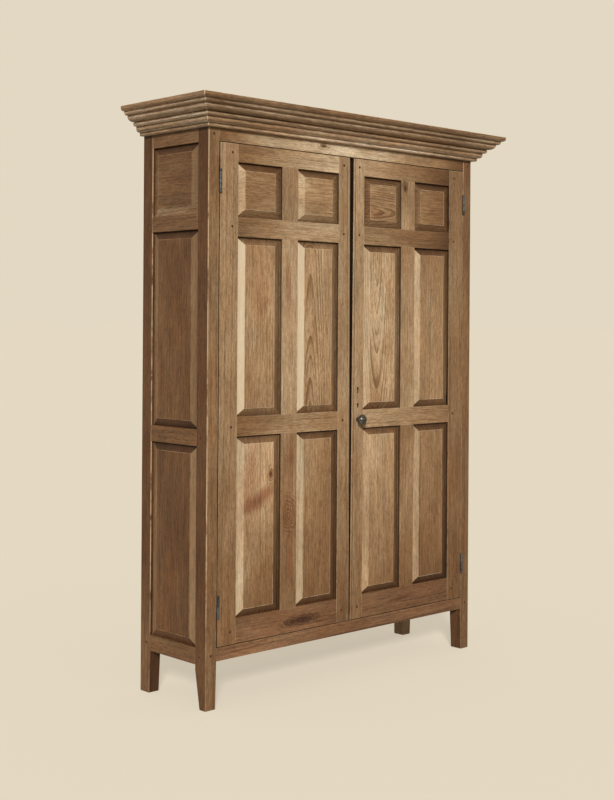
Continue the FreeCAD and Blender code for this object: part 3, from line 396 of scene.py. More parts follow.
class Wiring:
    """Adds nodes to one node tree and links them."""

    def __init__(self, tree: NodeTree) -> None:
        """Work on a tree."""
        self.tree = tree

    def add(self, kind: str, **settings: Any) -> Node:
        """Add a node.

        Args:
            kind: Node type name.
            **settings: Properties set on the node.

        Returns:
            The new node.
        """
        node = self.tree.nodes.new(kind)
        for name, value in settings.items():
            setattr(node, name, value)
        return node

    def feed(self, socket: NodeSocket, value: Any) -> None:
        """Link a socket to another one, or set its value.

        Args:
            socket: Input to feed.
            value: Output socket, number, vector, colour or name.
        """
        if isinstance(value, NodeSocket):
            self.tree.links.new(value, socket)
        else:
            socket.default_value = value

    def fill(self, node: Node, **values: Any) -> Node:
        """Feed a node's inputs by name, with underscores for spaces.

        Args:
            node: Node to feed.
            **values: Input names and what feeds them.

        Returns:
            The same node.
        """
        for name, value in values.items():
            self.feed(node.inputs[name.replace("_", " ")], value)
        return node

    def line_up(self, node: Node, *values: Any) -> Node:
        """Feed a node's first inputs in order.

        Args:
            node: Node to feed.
            *values: What feeds them.

        Returns:
            The same node.
        """
        for socket, value in zip(node.inputs, values):
            self.feed(socket, value)
        return node

    def read(self, name: str, output: str = "Fac") -> NodeSocket:
        """Value that a mesh keeps under a name."""
        return self.add("ShaderNodeAttribute", attribute_name=name).outputs[output]

    def here(self) -> NodeSocket:
        """Place on the piece, in metres."""
        return self.add("ShaderNodeTexCoord").outputs["Object"]

    def math(self, operation: str, *terms: Any) -> NodeSocket:
        """Result of an operation on numbers."""
        return self.line_up(self.add("ShaderNodeMath", operation=operation), *terms).outputs[0]

    def vector(self, operation: str, *terms: Any) -> NodeSocket:
        """Result of an operation on vectors."""
        return self.line_up(self.add("ShaderNodeVectorMath", operation=operation), *terms).outputs["Vector"]

    def length(self, vector: Any) -> NodeSocket:
        """Length of a vector."""
        return self.line_up(self.add("ShaderNodeVectorMath", operation="LENGTH"), vector).outputs["Value"]

    def scaled(self, vector: Any, scale: Any) -> NodeSocket:
        """A vector times a number."""
        node = self.line_up(self.add("ShaderNodeVectorMath", operation="SCALE"), vector)
        return self.fill(node, Scale=scale).outputs["Vector"]

    def blend(self, factor: Any, first: Any, second: Any, kind: str = "MIX") -> NodeSocket:
        """Blend of two colours.

        Args:
            factor: Share of the second colour.
            first: First colour.
            second: Second colour.
            kind: Blend type.

        Returns:
            The blended colour's socket.
        """
        node = self.add("ShaderNodeMix", data_type="RGBA", blend_type=kind)
        for index, value in zip(COLOUR_MIX_INPUTS, (factor, first, second)):
            self.feed(node.inputs[index], value)
        return node.outputs[COLOUR_MIX_OUTPUT]

    def ramp(self, value: Any, limits: Span) -> NodeSocket:
        """Smooth step of a value from 0 at the lower limit to 1 at the upper one."""
        node = self.add("ShaderNodeMapRange", interpolation_type="SMOOTHSTEP")
        return self.fill(node, Value=value, From_Min=limits[0], From_Max=limits[1]).outputs["Result"]

    def noise(self, place: Any, cells: Triple, detail: float = 2.0) -> Node:
        """Noise that is stretched differently along each axis.

        Args:
            place: Coordinates in metres.
            cells: Noise cells for each metre along each axis.
            detail: Octaves of detail.

        Returns:
            The noise node.
        """
        spread = self.vector("MULTIPLY", place, cells)
        node = self.add("ShaderNodeTexNoise")
        return self.fill(node, Vector=spread, Scale=1.0, Detail=detail, Roughness=NOISE_ROUGHNESS)

    def cloud(self, place: Any, cells: Triple, detail: float = 2.0) -> NodeSocket:
        """Value of a stretched noise."""
        return self.noise(place, cells, detail).outputs["Fac"]


def socket_type(default: Any) -> str:
    """Type of the socket that takes a default value.

    Args:
        default: The value, or a socket type where there is none.

    Returns:
        The socket type.
    """
    if isinstance(default, str):
        return default
    if isinstance(default, int):
        return WHOLE
    return COLOUR if isinstance(default, tuple) else FLOAT


def open_group(
    name: str, inputs: dict[str, Any], outputs: dict[str, str], kind: str = "ShaderNodeTree"
) -> tuple[Wiring, Mapping[str, NodeSocket], Node]:
    """Start a node group.

    Args:
        name: Group name.
        inputs: Default of each input, or the socket type of one that has none.
        outputs: Socket type of each output.
        kind: Tree type.

    Returns:
        Its wiring, its inputs by name and its output node.
    """
    tree = bpy.data.node_groups.new(name, kind)
    for title, default in inputs.items():
        socket = tree.interface.new_socket(title, in_out="INPUT", socket_type=socket_type(default))
        if not isinstance(default, str):
            socket.default_value = default
    for title, output_type in outputs.items():
        tree.interface.new_socket(title, in_out="OUTPUT", socket_type=output_type)
    wiring = Wiring(tree)
    return wiring, wiring.add("NodeGroupInput").outputs, wiring.add("NodeGroupOutput")


@dataclass
class ShaderGroups:
    """Shader effects that several finishes share, each built once.

    Fields named cells count noise cells for each metre along each axis. Fields named limits hold where a
    soft mask begins and ends.
    """

    slow_cells: Triple = (5.0, 5.0, 1.1)
    wobble: float = 0.011
    year_cells: float = 0.35
    year_drift: float = 2.4
    break_cells: Triple = (16.0, 16.0, 5.0)
    break_limits: Span = (0.38, 0.60)
    break_depth: float = 0.6
    ring_power: float = 4.0
    streak_cells: Triple = (120.0, 120.0, 9.0)
    streak_limits: Span = (0.30, 0.72)
    dash_cells: Triple = (240.0, 240.0, 34.0)
    dash_limits: Span = (0.38, 0.64)
    pore_cells: Triple = (380.0, 380.0, 90.0)
    pore_limits: Span = (0.52, 0.70)
    pore_weight: float = 0.4
    pore_shade: Rgba = (0.6, 0.56, 0.52, 1.0)
    most_dark: float = 1.2
    blotch_cells: Triple = (13.0, 13.0, 4.0)
    blotch_depth: float = 0.9
    green_power: float = 1.3
    blue_power: float = 1.65
    cool_drift: Rgba = (0.88, 1.02, 1.14, 1.0)
    warm_drift: Rgba = (1.12, 0.98, 0.86, 1.0)
    # Brightness of the painted highlight on lit bevels.
    planed_level: float = 0.54
    wear_cells: Triple = (22.0, 22.0, 22.0)
    wear_limits: Span = (0.30, 0.58)
    wear_gloss: float = 0.22
    # Colour of the painted shade in corners, gaps and holes.
    wax_shade: Rgba = (0.045, 0.036, 0.030, 1.0)
    knot_cells: Triple = (26.0, 26.0, 16.0)
    knot_wobble: float = 0.034
    knot_pitch: float = 0.0085
    knot_power: float = 1.6
    knot_weight: float = 2.0
    knot_limits: Span = (0.55, 1.1)
    heart_limits: Span = (0.14, 0.42)
    heart_weight: float = 1.8
    stain_cells: Triple = (30.0, 30.0, 9.0)
    stain_wobble: float = 0.7
    stain_limits: Span = (0.40, 1.40)
    rust_cells: Triple = (70.0, 70.0, 70.0)
    rust_limits: Span = (0.38, 0.62)
    rust_gloss: float = 0.16
    made: dict[str, NodeTree] = field(default_factory=dict)

    def build(self) -> None:
        """Build every group."""
        for make in (self.grain, self.tint, self.wear, self.knot, self.stain, self.patina):
            self.made[make.__name__] = make()

    def grain(self) -> NodeTree:
        """Figure of a sawn board: rings round a distant pith, streaks, pores and blotches.

        Returns:
            The node group.
        """
        wiring, given, result = open_group(
            "oak_grain",
            {"Place": VECTOR, "Ring Pitch": 0.008, "Wobble": self.wobble},
            dict.fromkeys(FIGURE_PARTS, FLOAT),
        )
        place = given["Place"]
        drift = wiring.noise(place, self.slow_cells).outputs["Color"]
        centred = wiring.vector("SUBTRACT", drift, MID_NOISE)
        bent = wiring.vector("ADD", place, wiring.scaled(centred, given["Wobble"]))
        radius = wiring.length(wiring.vector("MULTIPLY", bent, ACROSS_GRAIN))
        count = wiring.math("DIVIDE", radius, given["Ring Pitch"])
        years = wiring.add("ShaderNodeTexNoise", noise_dimensions="1D")
        wiring.fill(years, W=count, Scale=self.year_cells, Detail=1.0)
        phase = wiring.math("ADD", count, wiring.math("MULTIPLY", years.outputs["Fac"], self.year_drift))
        late = wiring.math("POWER", wiring.math("FRACT", phase), self.ring_power)
        breaks = wiring.ramp(wiring.cloud(place, self.break_cells), self.break_limits)
        strength = wiring.math("MULTIPLY_ADD", breaks, self.break_depth, 1 - self.break_depth)
        blotches = wiring.noise(place, self.blotch_cells)
        parts = wiring.line_up(wiring.add("ShaderNodeSeparateColor"), blotches.outputs["Color"])
        wiring.fill(
            result,
            Rings=wiring.math("MULTIPLY", late, strength),
            Streaks=wiring.cloud(bent, self.streak_cells, detail=4.0),
            Dashes=wiring.cloud(bent, self.dash_cells, detail=3.0),
            Pores=wiring.ramp(wiring.cloud(bent, self.pore_cells, detail=1.0), self.pore_limits),
            Blotches=blotches.outputs["Fac"],
            Warmth=parts.outputs["Green"],
        )
        return wiring.tree

    def tint(self) -> NodeTree:
        """Colour of a board from its figure and its own tone, with a painted highlight on lit bevels.

        Returns:
            The node group.
        """
        weights = ("Ring Weight", "Streak Weight", "Dash Weight")
        wiring, given, result = open_group(
            "board_tint",
            dict.fromkeys((*FIGURE_PARTS, *weights), 0.5) | dict.fromkeys(("Pale", "Dark", "Worn"), GREY),
            {"Colour": COLOUR},
        )
        rings = wiring.math("MULTIPLY", given["Rings"], given["Ring Weight"])
        rings = wiring.math("MULTIPLY", rings, wiring.read("figure"))
        streaks = wiring.ramp(given["Streaks"], self.streak_limits)
        streaks = wiring.math("MULTIPLY", streaks, given["Streak Weight"])
        dashes = wiring.ramp(given["Dashes"], self.dash_limits)
        dashes = wiring.math("MULTIPLY", dashes, given["Dash Weight"])
        share = wiring.math("ADD", rings, wiring.math("ADD", streaks, dashes))
        share = wiring.math("MINIMUM", share, self.most_dark)
        colour = wiring.blend(share, given["Pale"], given["Dark"])
        pores = wiring.math("MULTIPLY", given["Pores"], self.pore_weight)
        pitted = wiring.blend(1.0, given["Dark"], self.pore_shade, "MULTIPLY")
        colour = wiring.blend(pores, colour, pitted)
        # The tone holds the board's own lightness and painted light and shade.
        tone = wiring.read("tone")
        even = 1 - self.blotch_depth / 2
        blotch = wiring.math("MULTIPLY_ADD", given["Blotches"], self.blotch_depth, even)
        level = wiring.math("MULTIPLY", tone, blotch)
        green = wiring.math("POWER", level, self.green_power)
        blue = wiring.math("POWER", level, self.blue_power)
        warm = wiring.line_up(wiring.add("ShaderNodeCombineXYZ"), level, green, blue).outputs[0]
        drift = wiring.blend(given["Warmth"], self.cool_drift, self.warm_drift)
        toned = wiring.vector("MULTIPLY", wiring.vector("MULTIPLY", colour, warm), drift)
        # Painted highlight: a lit bevel fades towards a smooth pale colour.
        smooth = wiring.scaled(given["Worn"], wiring.math("MULTIPLY", tone, self.planed_level))
        wiring.fill(result, Colour=wiring.blend(wiring.read("planed"), toned, smooth))
        return wiring.tree

    def wear(self) -> NodeTree:
        """Pale edges, from wear and painted highlights, and painted shade in the corners.

        Returns:
            The node group.
        """
        wiring, given, result = open_group(
            "edge_wear",
            {"Colour": GREY, "Worn": GREY, "Roughness": 0.55},
            {"Colour": COLOUR, "Roughness": FLOAT},
        )
        patches = wiring.cloud(wiring.here(), self.wear_cells, detail=3.0)
        # The edge mark holds rubbed wear and painted highlights.
        rubbed = wiring.math("MULTIPLY", wiring.read("edge"), wiring.ramp(patches, self.wear_limits))
        colour = wiring.blend(rubbed, given["Colour"], given["Worn"])
        deep = wiring.blend(1.0, colour, self.wax_shade, "MULTIPLY")
        gloss = self.gloss(wiring, patches, given["Roughness"], self.wear_gloss)
        # Painted shade darkens bevel feet, corners, gaps, holes and rear roundings.
        wiring.fill(result, Colour=wiring.blend(wiring.read("soil"), colour, deep), Roughness=gloss)
        return wiring.tree

    @staticmethod
    def gloss(wiring: Wiring, mask: NodeSocket, mean: NodeSocket, drift: float) -> NodeSocket:
        """Roughness that drifts about its mean as a mask changes."""
        return wiring.math("MULTIPLY_ADD", mask, drift, wiring.math("SUBTRACT", mean, drift / 2))

    def knot(self) -> NodeTree:
        """Rings of one knot round its dark heart.

        Returns:
            The node group.
        """
        wiring, given, result = open_group(
            "knot",
            {"Rings": 0.0, "Pores": 0.0, "Centre": VECTOR, "Squeeze": VECTOR, "Radius": 0.02, "Heart": 1.0},
            {"Rings": FLOAT, "Pores": FLOAT},
        )
        place = wiring.here()
        away = wiring.vector("SUBTRACT", place, given["Centre"])
        distance = wiring.length(wiring.vector("MULTIPLY", away, given["Squeeze"]))
        ragged = wiring.cloud(place, self.knot_cells)
        bent = wiring.math("MULTIPLY_ADD", ragged, self.knot_wobble, distance)
        own = wiring.math("FRACT", wiring.math("DIVIDE", bent, self.knot_pitch))
        own = wiring.math("MULTIPLY", wiring.math("POWER", own, self.knot_power), self.knot_weight)
        near = wiring.math("DIVIDE", distance, given["Radius"])
        reach = wiring.math("SUBTRACT", 1.0, wiring.ramp(near, self.knot_limits))
        kept = wiring.math("MULTIPLY", given["Rings"], wiring.math("SUBTRACT", 1.0, reach))
        heart = wiring.math("SUBTRACT", 1.0, wiring.ramp(near, self.heart_limits))
        heart = wiring.math("MULTIPLY", heart, given["Heart"])
        heart = wiring.math("MULTIPLY", heart, self.heart_weight)
        rings = wiring.math("ADD", kept, wiring.math("MULTIPLY", own, reach))
        wiring.fill(result, Rings=rings, Pores=wiring.math("MAXIMUM", given["Pores"], heart))
        return wiring.tree

    def stain(self) -> NodeTree:
        """A long soft heartwood streak on the front.

        Returns:
            The node group.
        """
        wiring, given, result = open_group(
            "heartwood_streak",
            {"Colour": GREY, "Tint": GREY, "Centre": VECTOR, "Turn": VECTOR, "Reach": VECTOR},
            {"Colour": COLOUR},
        )
        place = wiring.here()
        away = wiring.vector("SUBTRACT", place, given["Centre"])
        turned = wiring.add("ShaderNodeVectorRotate", rotation_type="EULER_XYZ")
        wiring.fill(turned, Vector=away, Rotation=given["Turn"])
        distance = wiring.length(wiring.vector("DIVIDE", turned.outputs[0], given["Reach"]))
        ragged = wiring.cloud(place, self.stain_cells, detail=3.0)
        bent = wiring.math("MULTIPLY_ADD", ragged, self.stain_wobble, distance)
        mask = wiring.math("SUBTRACT", 1.0, wiring.ramp(bent, self.stain_limits))
        wiring.fill(result, Colour=wiring.blend(mask, given["Colour"], given["Tint"], "MULTIPLY"))
        return wiring.tree

    def patina(self) -> NodeTree:
        """Rubbed and dull patches of old iron.

        Returns:
            The node group.
        """
        wiring, given, result = open_group(
            "iron_patina",
            {"Clean": GREY, "Dull": GREY, "Roughness": 0.5},
            {"Colour": COLOUR, "Roughness": FLOAT},
        )
        mask = wiring.ramp(wiring.cloud(wiring.here(), self.rust_cells, detail=4.0), self.rust_limits)
        gloss = self.gloss(wiring, mask, given["Roughness"], self.rust_gloss)
        wiring.fill(result, Colour=wiring.blend(mask, given["Clean"], given["Dull"]), Roughness=gloss)
        return wiring.tree


@dataclass
class Palette:
    """Makes the material of each finish once."""

    groups: ShaderGroups
    wax_gloss: float = 0.28
    bump_distance: float = 0.0006
    bump_strength: float = 0.35
    made: dict[str, Material] = field(default_factory=dict)

    def start(self, name: str) -> tuple[Material, Wiring, Node]:
        """Open a new material.

        Args:
            name: Material name.

        Returns:
            The material, its wiring and its Principled shader.
        """
        material = bpy.data.materials.new(name)
        material.use_nodes = True
        wiring = Wiring(material.node_tree)
        shader = next(node for node in material.node_tree.nodes if node.type == "BSDF_PRINCIPLED")
        self.made[name] = material
        return material, wiring, shader

    def place(self, wiring: Wiring, name: str, **values: Any) -> Node:
        """Put one of the shared groups into a material and feed its inputs."""
        return wiring.fill(wiring.add("ShaderNodeGroup", node_tree=self.groups.made[name]), **values)

    def timber(self, finish: TimberFinish) -> Material:
        """Material of a wood.

        Args:
            finish: The wood's finish.

        Returns:
            The material.
        """
        if finish.name in self.made:
            return self.made[finish.name]
        material, wiring, shader = self.start(finish.name)
        where = wiring.read("board_place", "Vector")
        grain = self.place(wiring, "grain", Place=where, Ring_Pitch=finish.ring_pitch)
        figure = {part: grain.outputs[part] for part in FIGURE_PARTS}
        for knot in finish.knots:
            node = self.place(wiring, "knot", Rings=figure["Rings"], Pores=figure["Pores"])
            wiring.fill(node, Centre=knot.centre, Squeeze=knot.squeeze)
            wiring.fill(node, Radius=knot.radius, Heart=knot.heart)
            figure |= {part: node.outputs[part] for part in ("Rings", "Pores")}
        worn = linear(finish.worn)
        tint = self.place(wiring, "tint", **figure)
        wiring.fill(tint, Pale=linear(finish.pale), Dark=linear(finish.dark), Worn=worn)
        wiring.fill(tint, Ring_Weight=finish.ring_weight)
        wiring.fill(tint, Streak_Weight=finish.streak_weight, Dash_Weight=finish.dash_weight)
        colour = tint.outputs["Colour"]
        for stain in finish.stains:
            reach = (stain.half_length, stain.half_length, stain.half_width)
            node = self.place(wiring, "stain", Colour=colour, Tint=linear(stain.tint))
            wiring.fill(node, Centre=stain.centre, Turn=(0.0, stain.turn, 0.0), Reach=reach)
            colour = node.outputs["Colour"]
        wear = self.place(wiring, "wear", Colour=colour, Worn=worn, Roughness=finish.roughness)
        bump = wiring.add("ShaderNodeBump", invert=True)
        wiring.fill(bump, Strength=self.bump_strength, Distance=self.bump_distance, Height=figure["Pores"])
        wiring.fill(shader, Base_Color=wear.outputs["Colour"], Roughness=wear.outputs["Roughness"])
        wiring.fill(shader, Normal=bump.outputs["Normal"], Specular_IOR_Level=self.wax_gloss)
        return material

    def iron(self, finish: IronFinish) -> Material:
        """Material of an iron.

        Args:
            finish: The iron's finish.

        Returns:
            The material.
        """
        if finish.name in self.made:
            return self.made[finish.name]
        material, wiring, shader = self.start(finish.name)
        patina = self.place(wiring, "patina", Clean=linear(finish.clean), Dull=linear(finish.dull))
        wiring.fill(patina, Roughness=finish.roughness)
        wiring.fill(shader, Base_Color=patina.outputs["Colour"], Roughness=patina.outputs["Roughness"])
        wiring.fill(shader, Metallic=finish.metallic)
        return material


def islands(mesh: BMesh) -> list[list[BMVert]]:
    """Group a mesh's vertices into its separate solids.

    Args:
        mesh: The mesh.

    Returns:
        One list of vertices for each solid, in vertex order.
    """
    seen: set[BMVert] = set()
    groups = []
    for start in mesh.verts:
        if start in seen:
            continue
        seen.add(start)
        group = [start]
        for vert in group:
            for edge in vert.link_edges:
                other = edge.other_vert(vert)
                if other not in seen:
                    seen.add(other)
                    group.append(other)
        groups.append(group)
    return groups


def corners(verts: Iterable[BMVert]) -> tuple[Vector, Vector]:
    """Lowest and highest corner of some vertices.

    Args:
        verts: The vertices.

    Returns:
        Both corners.
    """
    points = [vert.co for vert in verts]
    low = Vector([min(point[axis] for point in points) for axis in AXES])
    high = Vector([max(point[axis] for point in points) for axis in AXES])
    return low, high


def faces_of(verts: Iterable[BMVert]) -> set[BMFace]:
    """Faces that meet at some vertices."""
    return {face for vert in verts for face in vert.link_faces}


def by_extent(low: Vector, high: Vector) -> list[int]:
    """Axes of a box from the shortest to the longest."""
    extent = high - low
    return sorted(AXES, key=lambda axis: extent[axis])


def unit(axis: int) -> Vector:
    """Unit vector along an axis."""
    return Vector([float(index == axis) for index in AXES])


def tone_at(levels: Tone, share: float) -> float:
    """Lightness of a board at a place along it.

    Args:
        levels: One lightness, or those of its start, middle and end.
        share: Place along the board, from 0 to 1.

    Returns:
        The lightness there.
    """
    if isinstance(levels, float):
        return levels
    half = int(share > 0.5)
    first, second = levels[half : half + 2]
    return first + (second - first) * (2 * share - half)


def merged_copy(node: Object) -> BMesh:
    """Copy a frame node's mesh with its corners joined and its flat faces whole.

    Args:
        node: The frame's object.

    Returns:
        The copied mesh.
    """
    mesh = bmesh.new()
    mesh.from_mesh(node.data)
    bmesh.ops.remove_doubles(mesh, verts=mesh.verts, dist=MERGE_DISTANCE)
    bmesh.ops.dissolve_limit(mesh, angle_limit=FLAT_ANGLE, verts=mesh.verts, edges=mesh.edges)
    return mesh


def add_object(name: str, data: ID) -> Object:
    """Link a new object into the scene.

    Args:
        name: Object name.
        data: Its mesh, camera or light.

    Returns:
        The object.
    """
    added = bpy.data.objects.new(name, data)
    bpy.context.scene.collection.objects.link(added)
    return added


@dataclass
class Timber:
    """One wooden node of the frame, copied with softened edges and its own grain.

    Attributes:
        node: Frame node that it stands for.
        body: Body that it rides on.
        finish: Wood of its front and other faces.
        side_finish: Darker wood, painted shade, of the faces that look sideways, where they differ.
        arris: Width of the softened edges in metres.
        wear: How pale the softened edges are rubbed, from 0 to 1.
        foot_wear: Share of that wear at the lower end of a leg.
        figures: How the rings cross its boards from left to right, repeated as needed.
        tones: Lightness of its boards from left to right, repeated as needed. Three numbers give it at
            the lower or left end, in the middle and at the other end.
        front_tone: Painted light and shade on the faces that look to the front.
        side_tone: Painted light and shade on the faces that look sideways.
        depth_tones: Painted light and shade at the front and at the back of the cupboard.
        bevels: Painted light and shade of a raised panel's bevels, or None for other pieces.
        field_edge: Width of the painted highlight line round a raised field.
        field_wear: How pale that painted highlight is, from 0 to 1.
        panel_axis: Axis that a raised panel faces along.
        pockets: Whether its holes and recessed faces get painted shade.
        left_soil: Painted shade on its left edge, in a gap or beside a panel, from 0 to 1.
        rear_soil: Painted shade on the rounding of its rear edges, beside a side panel.
        foot_tone: Painted light and shade on a leg's front below the rails.
        foot_side_tone: Painted light and shade on its sides there.
        foot_heights: Where a leg's painted light and shade at its foot begin and end.
        crown_tone: Painted shade on a moulding's upright faces above the crown height.
        crown_height: Where they begin.
        low_members: Top height and painted light and shade of its low members, from the lowest up.
        soffit_tone: Painted light on the faces that look down there.
        mitre_width: Reach of the painted highlight strip along each mitre, or 0 for none.
        relief: Painted shade: how much darker a moulding's undersides are, and lighter its tops.
        smooth: Whether its mouldings are shaded round.
        tone_spread: How far the lightness of its boards drifts at random.
        pocket_depth: How far a hole lies inside its outline.
        strips: Lengths that a board with a bent figure is cut into.
        figure_weight: Strength of the rings on such a board.
    """

    node: str
    body: str
    finish: TimberFinish
    side_finish: TimberFinish | None = None
    arris: float = 0.001
    wear: float = 0.3
    foot_wear: float = 1.0
    figures: tuple[Figure, ...] = (Figure.STRAIGHT,)
    tones: tuple[Tone, ...] = (1.0,)
    front_tone: float = 1.0
    side_tone: float = 1.0
    depth_tones: Span = (1.0, 1.0)
    bevels: BevelTones | None = None
    field_edge: float = 0.0012
    field_wear: float = 0.75
    panel_axis: int = 1
    pockets: bool = False
    left_soil: float = 0.0
    rear_soil: float = 0.0
    foot_tone: float = 1.0
    foot_side_tone: float = 1.0
    foot_heights: Span = (0.14, 0.45)
    crown_tone: float = 1.0
    crown_height: float = 1.985
    low_members: tuple[tuple[float, Tone], ...] = ()
    soffit_tone: float = 1.0
    mitre_width: float = 0.0
    relief: float = 0.0
    smooth: bool = False
    tone_spread: float = 0.05
    pocket_depth: float = 0.003
    strips: int = 8
    figure_weight: float = 2.8

    def build(self, frame: Frame, palette: Palette) -> None:
        """Make the piece and set it in place of its node.

        Args:
            frame: The loaded frame.
            palette: Where materials come from.
        """
        mesh = merged_copy(frame["nodes"][self.node])
        self.soften(mesh)
        if self.mitre_width > 0:
            self.mark_mitres(mesh)
        if self.bevels is not None:
            self.rub_fields(mesh)
        self.cut_boards(mesh)
        self.lay_grain(mesh)
        if self.left_soil > 0:
            self.soil_pockets(mesh)
        if self.bevels is not None:
            self.shade_panel(mesh, self.bevels)
        # Sideways faces take the darker side wood as painted shade.
        if self.side_finish is not None:
            for face in mesh.faces:
                face.material_index = int(abs(face.normal.x) > HALF_RIGHT)
        data = bpy.data.meshes.new(f"{self.node}_timber")
        mesh.to_mesh(data)
        mesh.free()
        if self.smooth:
            data.shade_smooth()
            data.set_sharp_from_angle(angle=SMOOTH_ANGLE)
        piece = add_object(f"{self.node}_timber", data)
        self.dress(piece, palette)

    def dress(self, piece: Object, palette: Palette) -> None:
        """Give the piece its wood and body.

        Args:
            piece: The new piece.
            palette: Where materials come from.
        """
        piece.data.materials.append(palette.timber(self.finish))
        if self.side_finish is not None:
            piece.data.materials.append(palette.timber(self.side_finish))
        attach(piece, self.body)
        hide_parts(self.node)
        log.info("timber %s on %s, %d faces", piece.name, self.body, len(piece.data.polygons))

    def soften(self, mesh: BMesh) -> None:
        """Round the long outer edges and mark the rounding as rubbed.

        Args:
            mesh: The copied mesh.
        """
        # This mark holds rubbed edge wear; the lines round raised fields and along mitres add painted
        # highlights to it.
        rubbed = mesh.faces.layers.float.new("rubbed")
        low, high = corners(mesh.verts)
        edges = [
            edge
            for edge in mesh.edges
            if edge.is_manifold
            and not (self.pockets and self.within(edge.verts, low, high))
            and edge.is_convex
            and edge.calc_face_angle(0.0) > SHARP_ANGLE
            and edge.calc_length() > SHORTEST_ARRIS
            and min(face.calc_area() for face in edge.link_faces) > SMALLEST_ARRIS_FACE
        ]
        result = bmesh.ops.bevel(
            mesh,
            geom=edges,
            offset=self.arris,
            offset_type="OFFSET",
            segments=ARRIS_SEGMENTS,
            profile=ARRIS_PROFILE,
            affect="EDGES",
            clamp_overlap=False,
        )
        for face in result["faces"]:
            face[rubbed] = self.wear

    def mark_mitres(self, mesh: BMesh) -> None:
        """Cut a narrow strip off along each mitre and mark it as a painted highlight.

        Args:
            mesh: The copied mesh.
        """
        rubbed = mesh.faces.layers.float["rubbed"]
        for side in Side:
            normal = Vector((side.value * HALF_RIGHT, HALF_RIGHT, 0.0))
            for reach in (-self.mitre_width, self.mitre_width):
                parts = [*mesh.verts, *mesh.edges, *mesh.faces]
                point = normal * (MITRE_PLANE + reach)
                bmesh.ops.bisect_plane(mesh, geom=parts, plane_co=point, plane_no=normal)
            for face in mesh.faces:
                if abs(face.calc_center_median().dot(normal) - MITRE_PLANE) < self.mitre_width:
                    face[rubbed] = 1.0

    def rub_fields(self, mesh: BMesh) -> None:
        """Mark a narrow strip round each raised field as a painted highlight.

        Args:
            mesh: The copied mesh.
        """
        rubbed = mesh.faces.layers.float["rubbed"]
        for panel in islands(mesh):
            outward, front = self.panel_front(panel)
            raised = [
                face
                for face in faces_of(panel)
                if face.normal[self.panel_axis] * outward > FIELD_LEAN
                and abs(face.calc_center_median()[self.panel_axis] - front) < MERGE_DISTANCE
            ]
            width = self.field_edge
            rim = bmesh.ops.inset_region(mesh, faces=raised, thickness=width, use_even_offset=True)
            for face in rim["faces"]:
                face[rubbed] = self.field_wear

    def panel_front(self, panel: list[BMVert]) -> tuple[float, float]:
        """Way that a raised panel looks along its axis, and where its field lies.

        Args:
            panel: The panel's vertices.

        Returns:
            The sign of its outward direction and the field's place on the axis.
        """
        low, high = corners(panel)
        if self.panel_axis == 1 or high[self.panel_axis] < 0:
            return -1.0, low[self.panel_axis]
        return 1.0, high[self.panel_axis]

    def cut_boards(self, mesh: BMesh) -> None:
        """Cut faces across where a board's tone or figure bends.

        Args:
            mesh: The copied mesh.
        """
        for index, board in enumerate(sorted(islands(mesh), key=self.place_key)):
            low, high = corners(board)
            _, _, length = by_extent(low, high)
            figured = self.figures[index % len(self.figures)] is not Figure.STRAIGHT
            strips = self.strips if figured else PLAIN_STRIPS
            places = [low[length] + (high - low)[length] * strip / strips for strip in range(1, strips)]
            if (self.foot_tone, self.foot_side_tone) != (1.0, 1.0):
                places.extend(self.foot_heights)
            across = unit(length)
            faces = faces_of(board)
            for place in places:
                edges = {edge for face in faces for edge in face.edges}
                verts = {vert for face in faces for vert in face.verts}
                parts = [*verts, *edges, *faces]
                point = across * place
                cut = bmesh.ops.bisect_plane(mesh, geom=parts, plane_co=point, plane_no=across)
                faces = {part for part in cut["geom"] if isinstance(part, BMFace)}

    def lay_grain(self, mesh: BMesh) -> None:
        """Give each board its place in a tree, its tone with painted light and shade, and its pale edges.

        Args:
            mesh: The copied mesh.
        """
        place = mesh.verts.layers.float_vector.new("board_place")
        figure = mesh.verts.layers.float.new("figure")
        tone = mesh.loops.layers.float.new("tone")
        edge = mesh.loops.layers.float.new("edge")
        soil = mesh.loops.layers.float.new("soil")
        mesh.loops.layers.float.new("planed")
        rubbed = mesh.faces.layers.float["rubbed"]
        for index, board in enumerate(sorted(islands(mesh), key=self.place_key)):
            chance = random.Random(f"{self.node} {index}")
            low, high = corners(board)
            thickness, width, length = by_extent(low, high)
            middle = (low + high) / 2
            kind = self.figures[index % len(self.figures)]
            heart, lean_aside = self.pith(kind, chance)
            start = chance.uniform(-GRAIN_START, GRAIN_START)
            for vert in board:
                vert[figure] = 1.0 if kind is Figure.STRAIGHT else self.figure_weight
                away = vert.co - middle
                along = away[length]
                behind = heart.behind + heart.lean * along + heart.bow * along * along
                aside = away[width] + heart.aside + lean_aside * along
                vert[place] = Vector((aside, away[thickness] + behind, along + start))
            levels = self.tones[index % len(self.tones)]
            spread = chance.uniform(1 - self.tone_spread, 1 + self.tone_spread)
            for face in faces_of(board):
                # The tone holds each board's own lightness with painted light and shade from facing,
                # height, depth and members.
                shade = spread * self.face_tone(face)
                member = self.member_tone(face)
                foot = self.foot_side_tone if abs(face.normal.x) > HALF_RIGHT else self.foot_tone
                # Painted shade on the rounding of rear edges beside a side panel.
                darkening = self.rear_soil if face[rubbed] > 0 and face.normal.y > REAR_LEAN else 0.0
                for loop in face.loops:
                    point = loop.vert.co
                    share = (point[length] - low[length]) / (high - low)[length]
                    loop[tone] = shade * tone_at(levels, share) * self.fade(point.z, foot)
                    loop[tone] *= self.depth_tone(point.y) * tone_at(member, share)
                    loop[edge] = (1 - darkening) * face[rubbed] * self.fade(point.z, self.foot_wear)
                    loop[soil] = darkening

